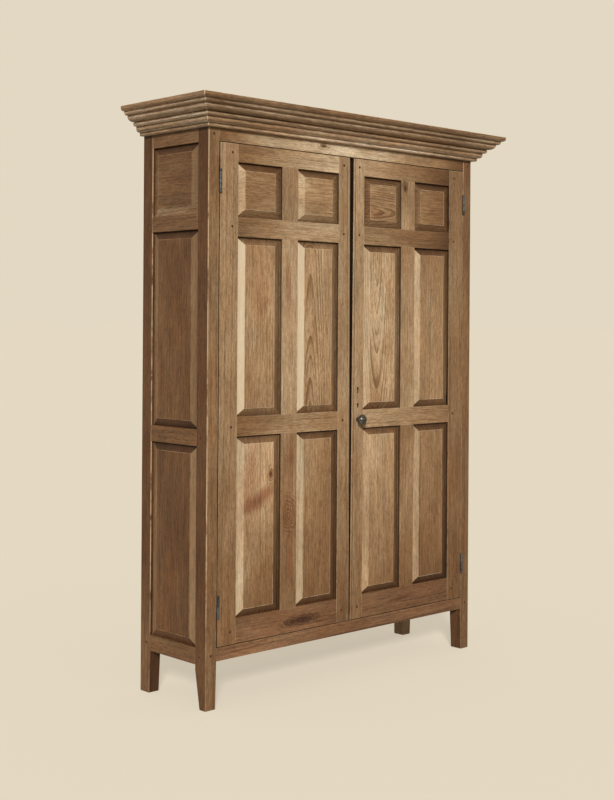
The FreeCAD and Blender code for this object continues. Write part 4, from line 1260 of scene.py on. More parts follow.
    def face_tone(self, face: BMFace) -> float:
        """Painted light and shade on a face from the way it looks.

        Args:
            face: The face.

        Returns:
            A factor for its board's own tone.
        """
        shade = 1 + self.relief * face.normal.z
        if face.normal.y < -HALF_RIGHT:
            shade *= self.front_tone
        if abs(face.normal.x) > HALF_RIGHT:
            shade *= self.side_tone
        if abs(face.normal.z) < HALF_RIGHT and face.calc_center_median().z > self.crown_height:
            shade *= self.crown_tone
        return shade

    def member_tone(self, face: BMFace) -> Tone:
        """Painted light and shade on a moulding's member along its length.

        Args:
            face: A face of the moulding.

        Returns:
            A factor for its board's own tone.
        """
        height = face.calc_center_median().z
        for top, levels in self.low_members:
            if height < top:
                return self.soffit_tone if face.normal.z < -SOFFIT_LEAN else levels
        return 1.0

    def depth_tone(self, depth: float) -> float:
        """Painted light and shade at a place between the front and the back of the cupboard."""
        front, back = self.depth_tones
        return front + (back - front) * (depth - FRONT_Y) / (BACK_Y - FRONT_Y)

    def fade(self, height: float, foot: float) -> float:
        """Painted light and shade of a leg at a height above the floor.

        Args:
            height: Height in metres.
            foot: The foot's own painted lightness.

        Returns:
            A factor that goes from 1 to the foot's tone.
        """
        low, high = self.foot_heights
        share = min(1.0, max(0.0, (height - low) / (high - low)))
        return foot + (1.0 - foot) * share

    @staticmethod
    def place_key(board: list[BMVert]) -> tuple[float, float]:
        """Order of a board in its node: from left to right, then upwards."""
        low, _ = corners(board)
        return round(low.x, PLACE_DIGITS), round(low.z, PLACE_DIGITS)

    @staticmethod
    def pith(figure: Figure, chance: random.Random) -> tuple[Heart, float]:
        """Place of the tree's heart beside a board.

        Args:
            figure: How the rings cross the board.
            chance: The board's own random numbers.

        Returns:
            The heart and how it leans aside along the board.
        """
        if figure.value is not None:
            return figure.value, 0.0
        aside = chance.choice((-1, 1)) * chance.uniform(*PITH_ASIDE)
        behind = chance.uniform(*PITH_DEPTH)
        lean_aside = chance.uniform(-PITH_LEAN_ASIDE, PITH_LEAN_ASIDE)
        return Heart(aside, behind, chance.uniform(-PITH_LEAN, PITH_LEAN)), lean_aside

    def soil_pockets(self, mesh: BMesh) -> None:
        """Paint shade on the left edge of a stile or muntin, and in a stile's holes and sunk faces.

        Args:
            mesh: The copied mesh.
        """
        soil = mesh.loops.layers.float["soil"]
        low, high = corners(mesh.verts)
        for face in mesh.faces:
            sunk = self.within(face.verts, low, high) and abs(face.normal.y) < HALF_RIGHT
            behind = face.normal.y < -HALF_RIGHT
            behind = behind and face.calc_center_median().y > low.y + self.pocket_depth
            darkening = self.left_soil if face.normal.x < -HALF_RIGHT else 0.0
            if self.pockets and (sunk or behind):
                darkening = 1.0
            for loop in face.loops:
                loop[soil] = darkening

    def within(self, verts: Iterable[BMVert], low: Vector, high: Vector) -> bool:
        """Whether points lie inside a stile's outline as seen from the front.

        Args:
            verts: The points.
            low: Lowest corner of the stile.
            high: Its highest corner.

        Returns:
            True where all lie further in than the pocket depth.
        """
        return all(
            low[axis] + self.pocket_depth < vert.co[axis] < high[axis] - self.pocket_depth
            for vert in verts
            for axis in (0, 2)
        )

    def shade_panel(self, mesh: BMesh, bevels: BevelTones) -> None:
        """Paint light and shade on a raised panel's bevels, and painted shade at their feet.

        Args:
            mesh: The copied mesh.
            bevels: Painted light and shade of the bevels.
        """
        axis = self.panel_axis
        across = 1 - axis
        tone = mesh.loops.layers.float["tone"]
        soil = mesh.loops.layers.float["soil"]
        planed = mesh.loops.layers.float["planed"]
        for panel in islands(mesh):
            outward, front = self.panel_front(panel)
            slope = [
                face
                for face in faces_of(panel)
                if SLOPE_LEAN < face.normal[axis] * outward < FIELD_LEAN
            ]
            depth = max(abs(vert.co[axis] - front) for face in slope for vert in face.verts)
            for face in slope:
                lit = False
                if abs(face.normal.z) > abs(face.normal[across]):
                    upper = face.normal.z > 0
                    shade = bevels.top if upper else bevels.foot
                    darkening = bevels.top_soil if upper else bevels.foot_soil
                elif face.normal[across] < 0:
                    lit = True
                    shade, darkening = bevels.lit, bevels.lit_soil
                else:
                    shade, darkening = bevels.shaded, bevels.shaded_soil
                for loop in face.loops:
                    loop[tone] = shade if lit else shade * loop[tone]
                    loop[planed] = bevels.planed if lit else 0.0
                    loop[soil] = darkening * min(1.0, abs(loop.vert.co[axis] - front) / depth)


@dataclass
class Case:
    """Posts, rails, side walls and inner boards of the cupboard."""

    body: str = "case"
    post_arris: float = 0.0026
    post_wear: float = 0.75
    post_foot_wear: float = 0.2
    # Painted shade on the rounding of the front posts' rear edges.
    post_rear_soil: float = 0.9
    # Painted shade on the posts' sideways faces.
    post_side_tone: float = 0.86
    side_rail_tones: tuple[Tone, ...] = (0.95, 0.9, 1.12, 1.15)
    rail_arris: float = 0.0009
    panel_arris: float = 0.0005
    board_arris: float = 0.0012
    left_post_tone: Tone = (0.42, 0.78, 0.62)
    right_post_tone: Tone = (0.70, 1.08, 0.80)
    # Painted shade on the right front post's front.
    right_front_tone: float = 0.56
    # Painted light and shade on the legs below the rails.
    left_foot_tone: float = 1.34
    right_foot_tone: float = 1.0
    foot_side_tones: dict[str, float] = field(
        default_factory=lambda: {
            "front_left": 1.9,
            "front_right": 0.86,
            "back_left": 2.7,
            "back_right": 3.3,
        }
    )
    # Painted light and shade on the back legs' fronts.
    back_front_tones: dict[Side, float] = field(default_factory=lambda: {Side.LEFT: 0.38, Side.RIGHT: 1.5})
    # Painted light in the middle of the front top rail, against the cornice's shadow; its ends are darker.
    frieze_tone: Tone = (0.50, 2.05, 0.24)
    bottom_tone: Tone = (0.97, 0.87, 0.80)
    panel_tones: dict[str, float] = field(
        default_factory=lambda: {"upper": 0.97, "middle": 0.88, "lower": 0.78}
    )
    # Painted light and shade on the side panels, darker towards the front.
    panel_depth_tones: Span = (0.74, 1.14)
    # Painted light and shade on the side panels' bevels.
    panel_bevels: dict[str, BevelTones] = field(
        default_factory=lambda: {
            "upper": BevelTones(1.15, 1.4, 0.7, 2.2, 0.3, 0.1, foot_soil=0.1, planed=0.4),
            "middle": BevelTones(1.15, 1.9, 0.6, 0.6, 0.3, 0.1, planed=0.4),
            "lower": BevelTones(1.45, 1.9, 0.6, 0.95, 0.3, 0.1, foot_soil=0.3, planed=0.4),
        }
    )
    inner_boards: tuple[str, ...] = (
        "back_rails",
        "back_boards",
        "floor_boards",
        "shelves",
        "shelf_cleats",
        "top_boards",
        "door_stop",
    )

    def build(self, frame: Frame, palette: Palette) -> None:
        """Make every wooden piece of the case.

        Args:
            frame: The loaded frame.
            palette: Where materials come from.
        """
        for side in Side:
            for end in ("front", "back"):
                self.post(side, end).build(frame, palette)
        rails = (
            ("front_top_rail", FRAME_OAK, (self.frieze_tone,)),
            ("front_bottom_rail", RUSSET_OAK, (self.bottom_tone,)),
            ("side_rails", SHADED_SIDE_OAK, self.side_rail_tones),
        )
        for node, finish, tones in rails:
            Timber(node, self.body, finish, arris=self.rail_arris, tones=tones).build(frame, palette)
        for side in Side:
            for row, tone in self.panel_tones.items():
                Timber(
                    f"{side.word}_{row}_panel",
                    self.body,
                    SHADED_SIDE_OAK,
                    arris=self.panel_arris,
                    tones=(tone,),
                    depth_tones=self.panel_depth_tones,
                    bevels=self.panel_bevels[row],
                    panel_axis=0,
                ).build(frame, palette)
        for node in self.inner_boards:
            Timber(node, self.body, INNER_PINE, arris=self.board_arris).build(frame, palette)

    def post(self, side: Side, end: str) -> Timber:
        """Describe one corner post.

        Args:
            side: Hand of the cupboard.
            end: "front" or "back".

        Returns:
            The post, not yet built.
        """
        corner = f"{end}_{side.word}"
        # A post's sideways faces take the darker side oak as painted shade.
        post = Timber(f"{corner}_post", self.body, FRAME_OAK, SHADED_SIDE_OAK, self.post_arris, self.post_wear)
        post.side_tone = self.post_side_tone
        post.foot_side_tone = self.foot_side_tones[corner]
        post.foot_wear = self.post_foot_wear
        post.rear_soil = self.post_rear_soil if end == "front" else 0.0
        post.tones = (self.left_post_tone if side is Side.LEFT else self.right_post_tone,)
        if end == "back":
            post.front_tone = self.back_front_tones[side]
        elif side is Side.LEFT:
            post.foot_tone = self.left_foot_tone
        else:
            post.front_tone = self.right_front_tone
            post.foot_tone = self.right_foot_tone
        return post


@dataclass
class Cornice:
    """Stacked mouldings round the top."""

    body: str = "case"
    arris: float = 0.0010
    wear: float = 0.8
    left_wear: float = 0.3
    # Painted shade on the mouldings' undersides and painted light on their tops.
    relief: float = 0.05
    # Painted shade on the crown's upright faces.
    crown_tone: float = 0.56
    # Painted light and shade on the left and the front mouldings as a whole.
    left_tone: float = 1.15
    front_tone: float = 0.90
    # Painted light and shade on the low members along their length.
    low_members: dict[str, tuple[tuple[float, Tone], ...]] = field(
        default_factory=lambda: {
            "front": ((FILLET_TOP, (0.66, 1.85, 0.80)), (BED_TOP, (0.68, 0.98, 0.82))),
            "left": ((BED_TOP, 0.67),),
            "right": ((BED_TOP, 0.95),),
        }
    )
    # Painted light on the low members' undersides.
    soffit_tone: float = 1.7
    # Painted highlight along the mitres.
    mitre_width: float = 0.0015

    def build(self, frame: Frame, palette: Palette) -> None:
        """Make the front and side mouldings.

        Args:
            frame: The loaded frame.
            palette: Where materials come from.
        """
        for place in ("front", "left", "right"):
            left = place == "left"
            Timber(
                f"cornice_{place}",
                self.body,
                MOULDING_OAK,
                arris=self.arris,
                wear=self.left_wear if left else self.wear,
                tones=(self.left_tone if left else self.front_tone,),
                crown_tone=self.crown_tone,
                low_members=self.low_members[place],
                soffit_tone=self.soffit_tone,
                mitre_width=self.mitre_width,
                relief=self.relief,
                smooth=True,
            ).build(frame, palette)


@dataclass(frozen=True)
class PanelRow:
    """Looks of one row of a door's panels.

    Attributes:
        name: Row name.
        tones: Lightness of its panels from left to right.
        bevels: Lightness of their bevels.
        figures: How the rings cross them.
    """

    name: str
    tones: tuple[Tone, Tone]
    bevels: BevelTones
    figures: tuple[Figure, ...] = (Figure.STRAIGHT,)


@dataclass
class Door:
    """One panelled door.

    Attributes:
        side: Hand of the door.
        rows: Its rows of panels.
        frame_tones: Lightness of the pieces of its frame that differ from the rest.
    """

    side: Side
    rows: tuple[PanelRow, ...]
    frame_tones: dict[str, tuple[Tone, ...]]
    stile_arris: float = 0.0014
    stile_wear: float = 0.5
    # Painted shade in the door gaps and on the left walls beside the panels.
    gap_soil: float = 1.0
    wall_soil: float = 0.78
    rail_arris: float = 0.0008
    panel_arris: float = 0.0005

    @property
    def body(self) -> str:
        """Name of the door's body."""
        return f"{self.side.word}_door"

    def build(self, frame: Frame, palette: Palette) -> None:
        """Make the door's frame and panels.

        Args:
            frame: The loaded frame.
            palette: Where materials come from.
        """
        for name in ("hinge_stile", "meeting_stile"):
            stile = self.piece(name, FRAME_OAK, self.stile_arris)
            stile.wear = self.stile_wear
            stile.pockets = True
            in_gap = (name == "hinge_stile") == (self.side is Side.LEFT)
            stile.left_soil = self.gap_soil if in_gap else self.wall_soil
            stile.build(frame, palette)
        for name in ("top_rail", "frieze_rail", "lock_rail"):
            self.piece(name, FRAME_OAK, self.rail_arris).build(frame, palette)
        muntins = self.piece("muntins", FRAME_OAK, self.rail_arris)
        muntins.left_soil = self.wall_soil
        muntins.build(frame, palette)
        self.piece("bottom_rail", RUSSET_OAK, self.rail_arris).build(frame, palette)
        for row in self.rows:
            panels = self.piece(f"{row.name}_panels", PANEL_OAK, self.panel_arris)
            panels.tones = row.tones
            panels.bevels = row.bevels
            panels.figures = row.figures
            panels.build(frame, palette)

    def piece(self, name: str, finish: TimberFinish, arris: float) -> Timber:
        """Describe one wooden piece of the door.

        Args:
            name: Node name without the door's own.
            finish: Its wood.
            arris: Width of its softened edges.

        Returns:
            The piece, not yet built.
        """
        tones = self.frame_tones.get(name, (1.0,))
        return Timber(f"{self.body}_{name}", self.body, finish, arris=arris, tones=tones)


def left_door() -> Door:
    """Left door, whose left bevels carry strong painted light.

    Returns:
        The door, not yet built.
    """
    # The tones below hold each board's own lightness and painted light and shade: lighter towards the
    # middle of the front, darker towards its right end and low down.
    rows = (
        PanelRow("upper", (0.81, (1.28, 0.94, 0.96)), BevelTones(1.42, 0.92, 0.50, 0.95, planed=0.2)),
        PanelRow(
            "middle",
            ((0.86, 1.10, 1.0), (1.02, 1.12, 1.30)),
            BevelTones(1.88, 0.78, 0.72, 0.82, planed=0.8),
            (Figure.STRAIGHT, Figure.PEAKED),
        ),
        PanelRow(
            "lower",
            ((0.50, 1.08, 1.62), (0.53, 0.84, 0.92)),
            BevelTones(1.34, 0.62, 0.48, 0.66, planed=0.35),
        ),
    )
    tones = {
        "hinge_stile": ((0.60, 1.0, 0.95),),
        "meeting_stile": ((0.50, 1.0, 0.87),),
        "top_rail": ((0.46, 1.16, 1.75),),
        "frieze_rail": ((0.40, 1.18, 1.22),),
        "lock_rail": ((0.50, 1.0, 1.08),),
        "bottom_rail": ((1.0, 1.0, 0.60),),
        "muntins": ((0.65, 0.80, 0.85), (1.0, 1.35, 1.17), (0.82, 0.83, 1.0)),
    }
    return Door(Side.LEFT, rows, tones)


def right_door() -> Door:
    """Right door, with more even painted light on its bevels and painted shade towards its hinges.

    Returns:
        The door, not yet built.
    """
    # The tones below hold each board's own lightness and painted light and shade: lighter towards the
    # middle of the front, darker towards its right end and low down.
    rows = (
        PanelRow(
            "upper",
            (1.0, (0.80, 0.65, 0.56)),
            BevelTones(0.60, 0.94, 0.50, 0.78, lit_soil=0.6, planed=0.0),
            (Figure.TONGUED, Figure.STRAIGHT),
        ),
        PanelRow(
            "middle",
            ((1.12, 1.48, 1.28), (0.97, 1.0, 0.70)),
            BevelTones(1.46, 0.72, 0.45, 0.52, planed=0.3),
            (Figure.HANGING, Figure.STRAIGHT),
        ),
        PanelRow(
            "lower",
            ((0.63, 0.98, 1.42), (0.42, 0.79, 0.84)),
            BevelTones(1.15, 0.58, 0.42, 0.48, planed=0.2),
        ),
    )
    tones = {
        "meeting_stile": ((0.68, 1.06, 1.20),),
        "hinge_stile": ((0.48, 0.72, 0.74),),
        "top_rail": ((1.36, 0.79, 0.19),),
        "frieze_rail": ((0.85, 0.69, 0.15),),
        "lock_rail": ((1.20, 1.0, 0.72),),
        "bottom_rail": ((0.90, 0.80, 0.78),),
        "muntins": ((0.45, 0.95, 0.62), (1.07, 1.02, 0.84), (1.15, 0.84, 1.04)),
    }
    return Door(Side.RIGHT, rows, tones)


@dataclass
class Ironwork:
    """Hinges, lock, bolts and knob, which keep the frame's own shapes."""

    hinges: tuple[str, ...] = (
        "hinge_case_leaves",
        "hinge_pins",
        "left_door_hinge_leaves",
        "right_door_hinge_leaves",
    )
    locks: tuple[str, ...] = (
        "lock_case",
        "lock_bolt",
        "bolt_plates",
        "top_bolt",
        "bottom_bolt",
        "latch_bar",
    )
    knobs: tuple[str, ...] = ("knob",)

    def dress(self, frame: Frame, palette: Palette) -> None:
        """Give every iron node its metal.

        Args:
            frame: The loaded frame.
            palette: Where materials come from.
        """
        for nodes, finish in ((self.hinges, HINGE_IRON), (self.locks, LOCK_IRON), (self.knobs, KNOB_IRON)):
            for name in nodes:
                for slot in frame["nodes"][name].material_slots:
                    slot.material = palette.iron(finish)
                log.info("iron %s", name)


@dataclass
class Studs:
    """Round pegs, nails and screws, set out with Geometry Nodes."""

    bodies: tuple[str, ...] = ("case", "left_door", "right_door")
    peg_radius: float = 0.0046
    peg_length: float = 0.008
    peg_crown: float = 0.0005
    peg_sides: int = 10
    nail_radius: float = 0.0038
    nail_length: float = 0.004
    nail_crown: float = 0.0008
    nail_sides: int = 6
    nail_inset: float = 0.022
    nail_drift: float = 0.006
    crown_taper: float = 0.72
    screw_radius: float = 0.0032
    screw_head: float = 0.002
    screw_shank: float = 0.0016
    screw_length: float = 0.016
    screw_slot: float = 0.0007
    slot_reach: float = 3.0
    head_sides: int = 20
    shank_sides: int = 12
    middle_depth: float = 0.05
    seed: int = 7

    def build(self, frame: Frame, palette: Palette) -> None:
        """Make all pegs, nails and screws.

        Args:
            frame: The loaded frame.
            palette: Where materials come from.
        """
        nodes = frame["nodes"]
        pegs: dict[str, Any] = {
            "Sides": self.peg_sides,
            "Radius": self.peg_radius,
            "Length": self.peg_length,
            "Crown": self.peg_crown,
            "Seed": self.seed,
        }
        screws: dict[str, Any] = {
            "Head Radius": self.screw_radius,
            "Head Depth": self.screw_head,
            "Shank Radius": self.screw_shank,
            "Length": self.screw_length,
            "Slot": self.screw_slot,
            "Seed": self.seed,
        }
        head_tree = self.head_tree(pegs)
        screw_tree = self.screw_tree(screws)
        pegs["Finish"] = palette.timber(PEG_WOOD)
        screws["Finish"] = palette.iron(HINGE_IRON)
        nails = pegs | {
            "Sides": self.nail_sides,
            "Radius": self.nail_radius,
            "Length": self.nail_length,
            "Crown": self.nail_crown,
            "Finish": palette.iron(LOCK_IRON),
        }
        for body in self.bodies:
            node = f"{body}_pegs"
            spots = self.peg_spots(nodes[node], both_ends=body != "case")
            piece = self.scatter(f"{node}_heads", spots, head_tree, pegs)
            self.dress(piece, body, PEG_WOOD.slot, node)
        for body in self.bodies:
            node = "case_hinge_screws" if body == "case" else f"{body}_screws"
            spots = self.screw_spots(nodes[node])
            piece = self.scatter(f"{node}_slotted", spots, screw_tree, screws)
            self.dress(piece, body, HINGE_IRON.slot, node)
        piece = self.scatter("back_board_nails", self.nail_spots(frame), head_tree, nails)
        self.dress(piece, "case", LOCK_IRON.slot)

    def dress(self, piece: Object, body: str, slot: str, *nodes: str) -> None:
        """Set a finished piece on its body.

        Args:
            piece: The piece.
            body: Body that it rides on.
            slot: Its material slot; not used.
            *nodes: Frame nodes that it stands for.
        """
        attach(piece, body)
        if nodes:
            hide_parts(*nodes)
        log.info("studs %s on %s, %d faces", piece.name, body, len(piece.data.polygons))

    def peg_spots(self, node: Object, both_ends: bool) -> Spots:
        """Visible ends of the pegs in a frame node.

        Args:
            node: The frame's object.
            both_ends: Whether the pegs show at both ends.

        Returns:
            Point and outward direction of each visible end.
        """
        mesh = merged_copy(node)
        low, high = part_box("back_boards")
        heart = (Vector(low) + Vector(high)) / 2
        heart.y = self.middle_depth
        spots = []
        for peg in islands(mesh):
            low, high = corners(peg)
            middle = (low + high) / 2
            *_, axis = by_extent(low, high)
            for end, sign in ((low, -1.0), (high, 1.0)):
                if both_ends or sign * (middle[axis] - heart[axis]) > 0:
                    point = middle.copy()
                    point[axis] = end[axis] - sign * self.peg_crown
                    spots.append((point, unit(axis) * sign))
        mesh.free()
        return spots

    def screw_spots(self, node: Object) -> Spots:
        """Heads of the screws in a frame node.

        Args:
            node: The frame's object.

        Returns:
            Middle of each head and the direction that it faces.
        """
        mesh = merged_copy(node)
        spots = []
        for screw in islands(mesh):
            low, high = corners(screw)
            point = (low + high) / 2
            *_, axis = by_extent(low, high)
            along = unit(axis)
            widest = max((vert.co - point for vert in screw), key=lambda away: away.cross(along).length)
            outwards = widest[axis] > 0
            point[axis] = high[axis] if outwards else low[axis]
            spots.append((point, along if outwards else -along))
        mesh.free()
        return spots

    def nail_spots(self, frame: Frame) -> Spots:
        """Places of the nails that hold the back boards to the rails.

        Args:
            frame: The loaded frame.

        Returns:
            Point and outward direction of each nail.
        """
        boards = merged_copy(frame["nodes"]["back_boards"])
        rails = merged_copy(frame["nodes"]["back_rails"])
        heights = [sum(corner.z for corner in corners(rail)) / 2 for rail in islands(rails)]
        chance = random.Random(self.seed)
        spots = []
        for board in islands(boards):
            low, high = corners(board)
            for height in heights:
                for x in (low.x + self.nail_inset, high.x - self.nail_inset):
                    drift = chance.uniform(-self.nail_drift, self.nail_drift)
                    spots.append((Vector((x + drift, high.y, height + drift)), unit(1)))
        boards.free()
        rails.free()
        return spots

    def scatter(self, name: str, spots: Spots, tree: NodeTree, values: dict[str, Any]) -> Object:
        """Run a tree on some spots and keep the result as a plain mesh.

        Args:
            name: Piece name.
            spots: Points and outward directions.
            tree: Geometry Nodes tree.
            values: The tree's inputs by name.

        Returns:
            The new piece.
        """
        points = bpy.data.meshes.new(f"{name}_points")
        points.from_pydata([tuple(point) for point, _ in spots], [], [])
        outward = points.attributes.new("outward", "FLOAT_VECTOR", "POINT")
        for index, (_, direction) in enumerate(spots):
            outward.data[index].vector = direction
        piece = add_object(name, points)
        modifier = piece.modifiers.new("studs", "NODES")
        modifier.node_group = tree
        for item in tree.interface.items_tree:
            if item.item_type == "SOCKET" and item.in_out == "INPUT" and item.name in values:
                modifier[item.identifier] = values[item.name]
        graph = bpy.context.evaluated_depsgraph_get()
        result = bpy.data.meshes.new_from_object(piece.evaluated_get(graph))
        piece.modifiers.remove(modifier)
        piece.data = result
        result.name = name
        return piece

    @staticmethod
    def open_tree(name: str, sizes: dict[str, Any]) -> tuple[Wiring, Mapping[str, NodeSocket], Node]:
        """Start a tree that takes points, a stud's sizes and its finish."""
        inputs = {"Points": GEOMETRY} | sizes | {"Finish": MATERIAL}
        return open_group(name, inputs, {"Geometry": GEOMETRY}, "GeometryNodeTree")

    def head_tree(self, sizes: dict[str, Any]) -> NodeTree:
        """Tree that sets a short round head with a chamfered crown on every point.

        Args:
            sizes: The head's sizes by name.

        Returns:
            The Geometry Nodes tree.
        """
        wiring, given, result = self.open_tree("stud_heads", sizes)
        shaft = wiring.add("GeometryNodeMeshCylinder")
        wiring.fill(shaft, Vertices=given["Sides"], Radius=given["Radius"], Depth=given["Length"])
        crown = wiring.add("GeometryNodeExtrudeMesh")
        wiring.fill(crown, Mesh=shaft.outputs["Mesh"], Selection=shaft.outputs["Top"])
        wiring.fill(crown, Offset_Scale=given["Crown"])
        taper = wiring.add("GeometryNodeScaleElements")
        wiring.fill(taper, Geometry=crown.outputs["Mesh"], Selection=crown.outputs["Top"])
        wiring.fill(taper, Scale=self.crown_taper)
        sunk = self.lowered(wiring, taper.outputs["Geometry"], given["Length"], 0.5)
        self.finish_tree(wiring, given, result, sunk)
        return wiring.tree

    def screw_tree(self, sizes: dict[str, Any]) -> NodeTree:
        """Tree that sets a slotted countersunk screw on every point.

        Args:
            sizes: The screw's sizes by name.

        Returns:
            The Geometry Nodes tree.
        """
        wiring, given, result = self.open_tree("slotted_screws", sizes)
        head = wiring.add("GeometryNodeMeshCone")
        wiring.fill(head, Vertices=self.head_sides, Depth=given["Head Depth"])
        wiring.fill(head, Radius_Top=given["Head Radius"], Radius_Bottom=given["Shank Radius"])
        shank = wiring.add("GeometryNodeMeshCylinder")
        wiring.fill(shank, Vertices=self.shank_sides, Radius=given["Shank Radius"], Depth=given["Length"])
        whole = wiring.add("GeometryNodeMeshBoolean", operation="UNION")
        sunk_head = self.lowered(wiring, head.outputs["Mesh"], given["Head Depth"], 1.0)
        sunk_shank = self.lowered(wiring, shank.outputs["Mesh"], given["Length"], 0.5)
        for part in (sunk_head, sunk_shank):
            wiring.feed(whole.inputs["Mesh 2"], part)
        reach = wiring.math("MULTIPLY", given["Head Radius"], self.slot_reach)
        size = wiring.add("ShaderNodeCombineXYZ")
        wiring.fill(size, X=reach, Y=given["Slot"], Z=given["Head Depth"])
        groove = wiring.fill(wiring.add("GeometryNodeMeshCube"), Size=size.outputs[0])
        slotted = wiring.add("GeometryNodeMeshBoolean", operation="DIFFERENCE")
        wiring.fill(slotted, Mesh_1=whole.outputs["Mesh"], Mesh_2=groove.outputs["Mesh"])
        self.finish_tree(wiring, given, result, slotted.outputs["Mesh"])
        return wiring.tree

    @staticmethod
    def lowered(wiring: Wiring, shape: NodeSocket, length: NodeSocket, share: float) -> NodeSocket:
        """Move a shape down so that it ends at the origin.

        Args:
            wiring: The tree's wiring.
            shape: Geometry to move.
            length: Its length.
            share: How much of its length stands above the origin.

        Returns:
            The moved geometry.
        """
        drop = wiring.add("ShaderNodeCombineXYZ")
        wiring.fill(drop, Z=wiring.math("MULTIPLY", length, -share))
        moved = wiring.add("GeometryNodeTransform")
        return wiring.fill(moved, Geometry=shape, Translation=drop.outputs[0]).outputs["Geometry"]

    @staticmethod
    def finish_tree(
        wiring: Wiring, given: Mapping[str, NodeSocket], result: Node, shape: NodeSocket
    ) -> None:
        """Set a shape on every point, turned outwards and spun at random.

        Args:
            wiring: The tree's wiring.
            given: Its inputs by name.
            result: Its output node.
            shape: Geometry of one stud, pointing along +Z.
        """
        position = wiring.add("GeometryNodeInputPosition").outputs[0]
        for name, kind, value in (("board_place", "FLOAT_VECTOR", position), ("tone", "FLOAT", 1.0)):
            store = wiring.add("GeometryNodeStoreNamedAttribute", data_type=kind, domain="POINT")
            shape = wiring.fill(store, Geometry=shape, Name=name, Value=value).outputs["Geometry"]
        outward = wiring.add("GeometryNodeInputNamedAttribute", data_type="FLOAT_VECTOR")
        wiring.fill(outward, Name="outward")
        turned = wiring.add("FunctionNodeAlignRotationToVector", axis="Z")
        wiring.fill(turned, Vector=outward.outputs["Attribute"])
        spread = wiring.add("GeometryNodeInstanceOnPoints")
        wiring.fill(spread, Points=given["Points"], Instance=shape, Rotation=turned.outputs["Rotation"])
        angle = wiring.add("FunctionNodeRandomValue", data_type="FLOAT")
        angle.inputs[RANDOM_LIMIT_INPUT].default_value = math.tau
        wiring.fill(angle, Seed=given["Seed"])
        spin = wiring.add("FunctionNodeAxisAngleToRotation")
        wiring.fill(spin, Axis=(0.0, 0.0, 1.0), Angle=angle.outputs[RANDOM_OUTPUT])
        spun = wiring.add("GeometryNodeRotateInstances")
        wiring.fill(spun, Instances=spread.outputs["Instances"], Rotation=spin.outputs["Rotation"])
        real = wiring.fill(wiring.add("GeometryNodeRealizeInstances"), Geometry=spun.outputs["Instances"])
        painted = wiring.add("GeometryNodeSetMaterial")
        wiring.fill(painted, Geometry=real.outputs["Geometry"], Material=given["Finish"])
        wiring.fill(result, Geometry=painted.outputs["Geometry"])


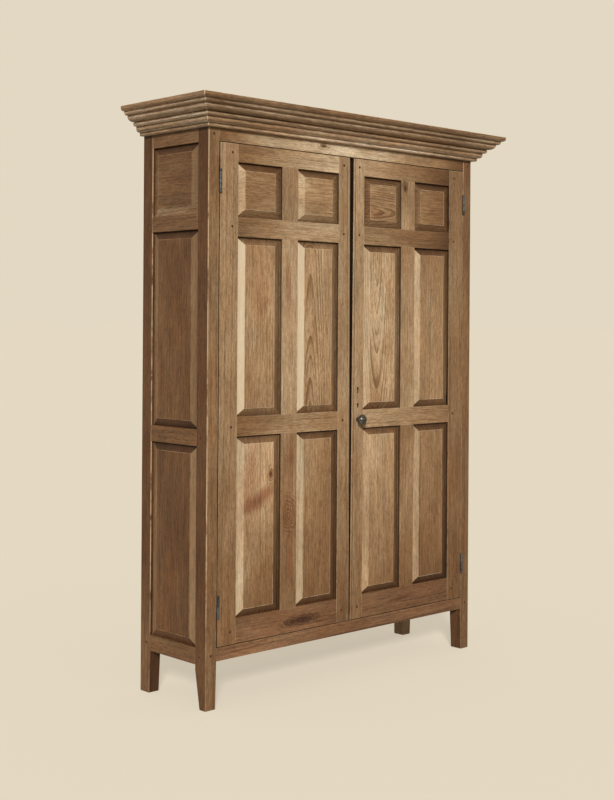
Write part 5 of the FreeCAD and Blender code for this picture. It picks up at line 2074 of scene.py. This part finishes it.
@dataclass
class Studio:
    """Camera at the picture's place, a soft key light and a pale floor."""

    camera_place: Triple = (-3.4149, -3.5325, 1.2679)
    yaw: float = 0.7543
    roll: float = 0.0065
    focal_pixels: float = 1343.4
    horizon_pixel: float = 322.87
    image_size: tuple[int, int] = (614, 800)
    sensor: float = 36.0
    key_aside: float = math.radians(42)
    key_height: float = math.radians(24)
    key_strength: float = 3.3
    key_angle: float = math.radians(9)
    sky_strength: float = 0.35
    sky_colour: Rgb = (255, 250, 242)
    paper: Rgb = (227, 216, 195)
    floor_diffuse: float = 0.46
    floor_glow: float = 0.652
    floor_bounce: Rgb = (140, 134, 124)
    floor_half: float = 300.0

    def build(self) -> None:
        """Set up the camera, lights, world and floor."""
        self.camera()
        self.key_light()
        self.world()
        self.floor()
        bpy.context.scene.view_settings.view_transform = "Standard"

    def camera(self) -> None:
        """Place the camera where the picture was seen from."""
        data = bpy.data.cameras.new("viewpoint")
        longest = max(self.image_size)
        data.sensor_width = self.sensor
        data.sensor_fit = "AUTO"
        data.lens = self.focal_pixels * self.sensor / longest
        data.shift_y = (self.horizon_pixel - self.image_size[1] / 2) / longest
        viewpoint = add_object("viewpoint", data)
        turn = Matrix.Rotation(-self.yaw, 4, "Z") @ Matrix.Rotation(math.pi / 2, 4, "X")
        turn = turn @ Matrix.Rotation(self.roll, 4, "Z")
        viewpoint.matrix_world = Matrix.Translation(self.camera_place) @ turn
        bpy.context.scene.camera = viewpoint

    def key_light(self) -> None:
        """Hang one soft far light at the front left."""
        data = bpy.data.lights.new("key", "SUN")
        data.energy = self.key_strength
        data.angle = self.key_angle
        level = math.cos(self.key_height)
        aside = math.sin(self.key_aside) * level
        inwards = math.cos(self.key_aside) * level
        towards = Vector((aside, inwards, -math.sin(self.key_height)))
        add_object("key", data).rotation_euler = towards.to_track_quat("-Z", "Y").to_euler()

    @staticmethod
    def show_apart(wiring: Wiring, lighting: NodeSocket, seen: NodeSocket, output: str) -> None:
        """Give rays that show the background, also in metal, a shader of their own.

        Args:
            wiring: Wiring of a world or floor material.
            lighting: Shader for the rays that light the cupboard.
            seen: Shader for those that show the background.
            output: Output node type.
        """
        path = wiring.add("ShaderNodeLightPath").outputs
        mask = wiring.math("MAXIMUM", path["Is Camera Ray"], path["Is Glossy Ray"])
        mask = wiring.math("MAXIMUM", mask, path["Is Transmission Ray"])
        mix = wiring.line_up(wiring.add("ShaderNodeMixShader"), mask, lighting, seen)
        wiring.fill(wiring.add(output), Surface=mix.outputs[0])

    def world(self) -> None:
        """Even sky light, seen as plain paper."""
        world = bpy.data.worlds.new("room")
        world.use_nodes = True
        bpy.context.scene.world = world
        wiring = Wiring(world.node_tree)
        world.node_tree.nodes.clear()
        sky = wiring.add("ShaderNodeBackground")
        wiring.fill(sky, Color=linear(self.sky_colour), Strength=self.sky_strength)
        paper = wiring.add("ShaderNodeBackground")
        wiring.fill(paper, Color=linear(self.paper), Strength=1.0)
        self.show_apart(wiring, sky.outputs[0], paper.outputs[0], "ShaderNodeOutputWorld")

    def floor(self) -> None:
        """Lay a wide pale floor that keeps the cupboard's shadow."""
        half = self.floor_half
        data = bpy.data.meshes.new("floor")
        square = [(-half, -half, 0), (half, -half, 0), (half, half, 0), (-half, half, 0)]
        data.from_pydata(square, [], [(0, 1, 2, 3)])
        material = bpy.data.materials.new("floor_paper")
        material.use_nodes = True
        wiring = Wiring(material.node_tree)
        material.node_tree.nodes.clear()
        paper = linear(self.paper)
        matt = wiring.add("ShaderNodeBsdfDiffuse")
        wiring.fill(matt, Color=(*(part * self.floor_diffuse for part in paper[:3]), 1.0))
        glow = wiring.add("ShaderNodeEmission")
        wiring.fill(glow, Color=paper, Strength=self.floor_glow)
        seen = wiring.line_up(wiring.add("ShaderNodeAddShader"), matt.outputs[0], glow.outputs[0])
        bounce = wiring.add("ShaderNodeBsdfDiffuse")
        wiring.fill(bounce, Color=linear(self.floor_bounce))
        self.show_apart(wiring, bounce.outputs[0], seen.outputs[0], "ShaderNodeOutputMaterial")
        data.materials.append(material)
        floor = add_object("floor", data)


def main() -> None:
    """Build and dress the cupboard, then its studio."""
    logging.basicConfig(level=logging.INFO, format="%(name)s: %(message)s")
    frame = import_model()
    groups = ShaderGroups()
    groups.build()
    palette = Palette(groups)
    Case().build(frame, palette)
    Cornice().build(frame, palette)
    for door in (left_door(), right_door()):
        door.build(frame, palette)
    Ironwork().dress(frame, palette)
    Studs().build(frame, palette)
    Studio().build()


if __name__ == "__main__":
    main()
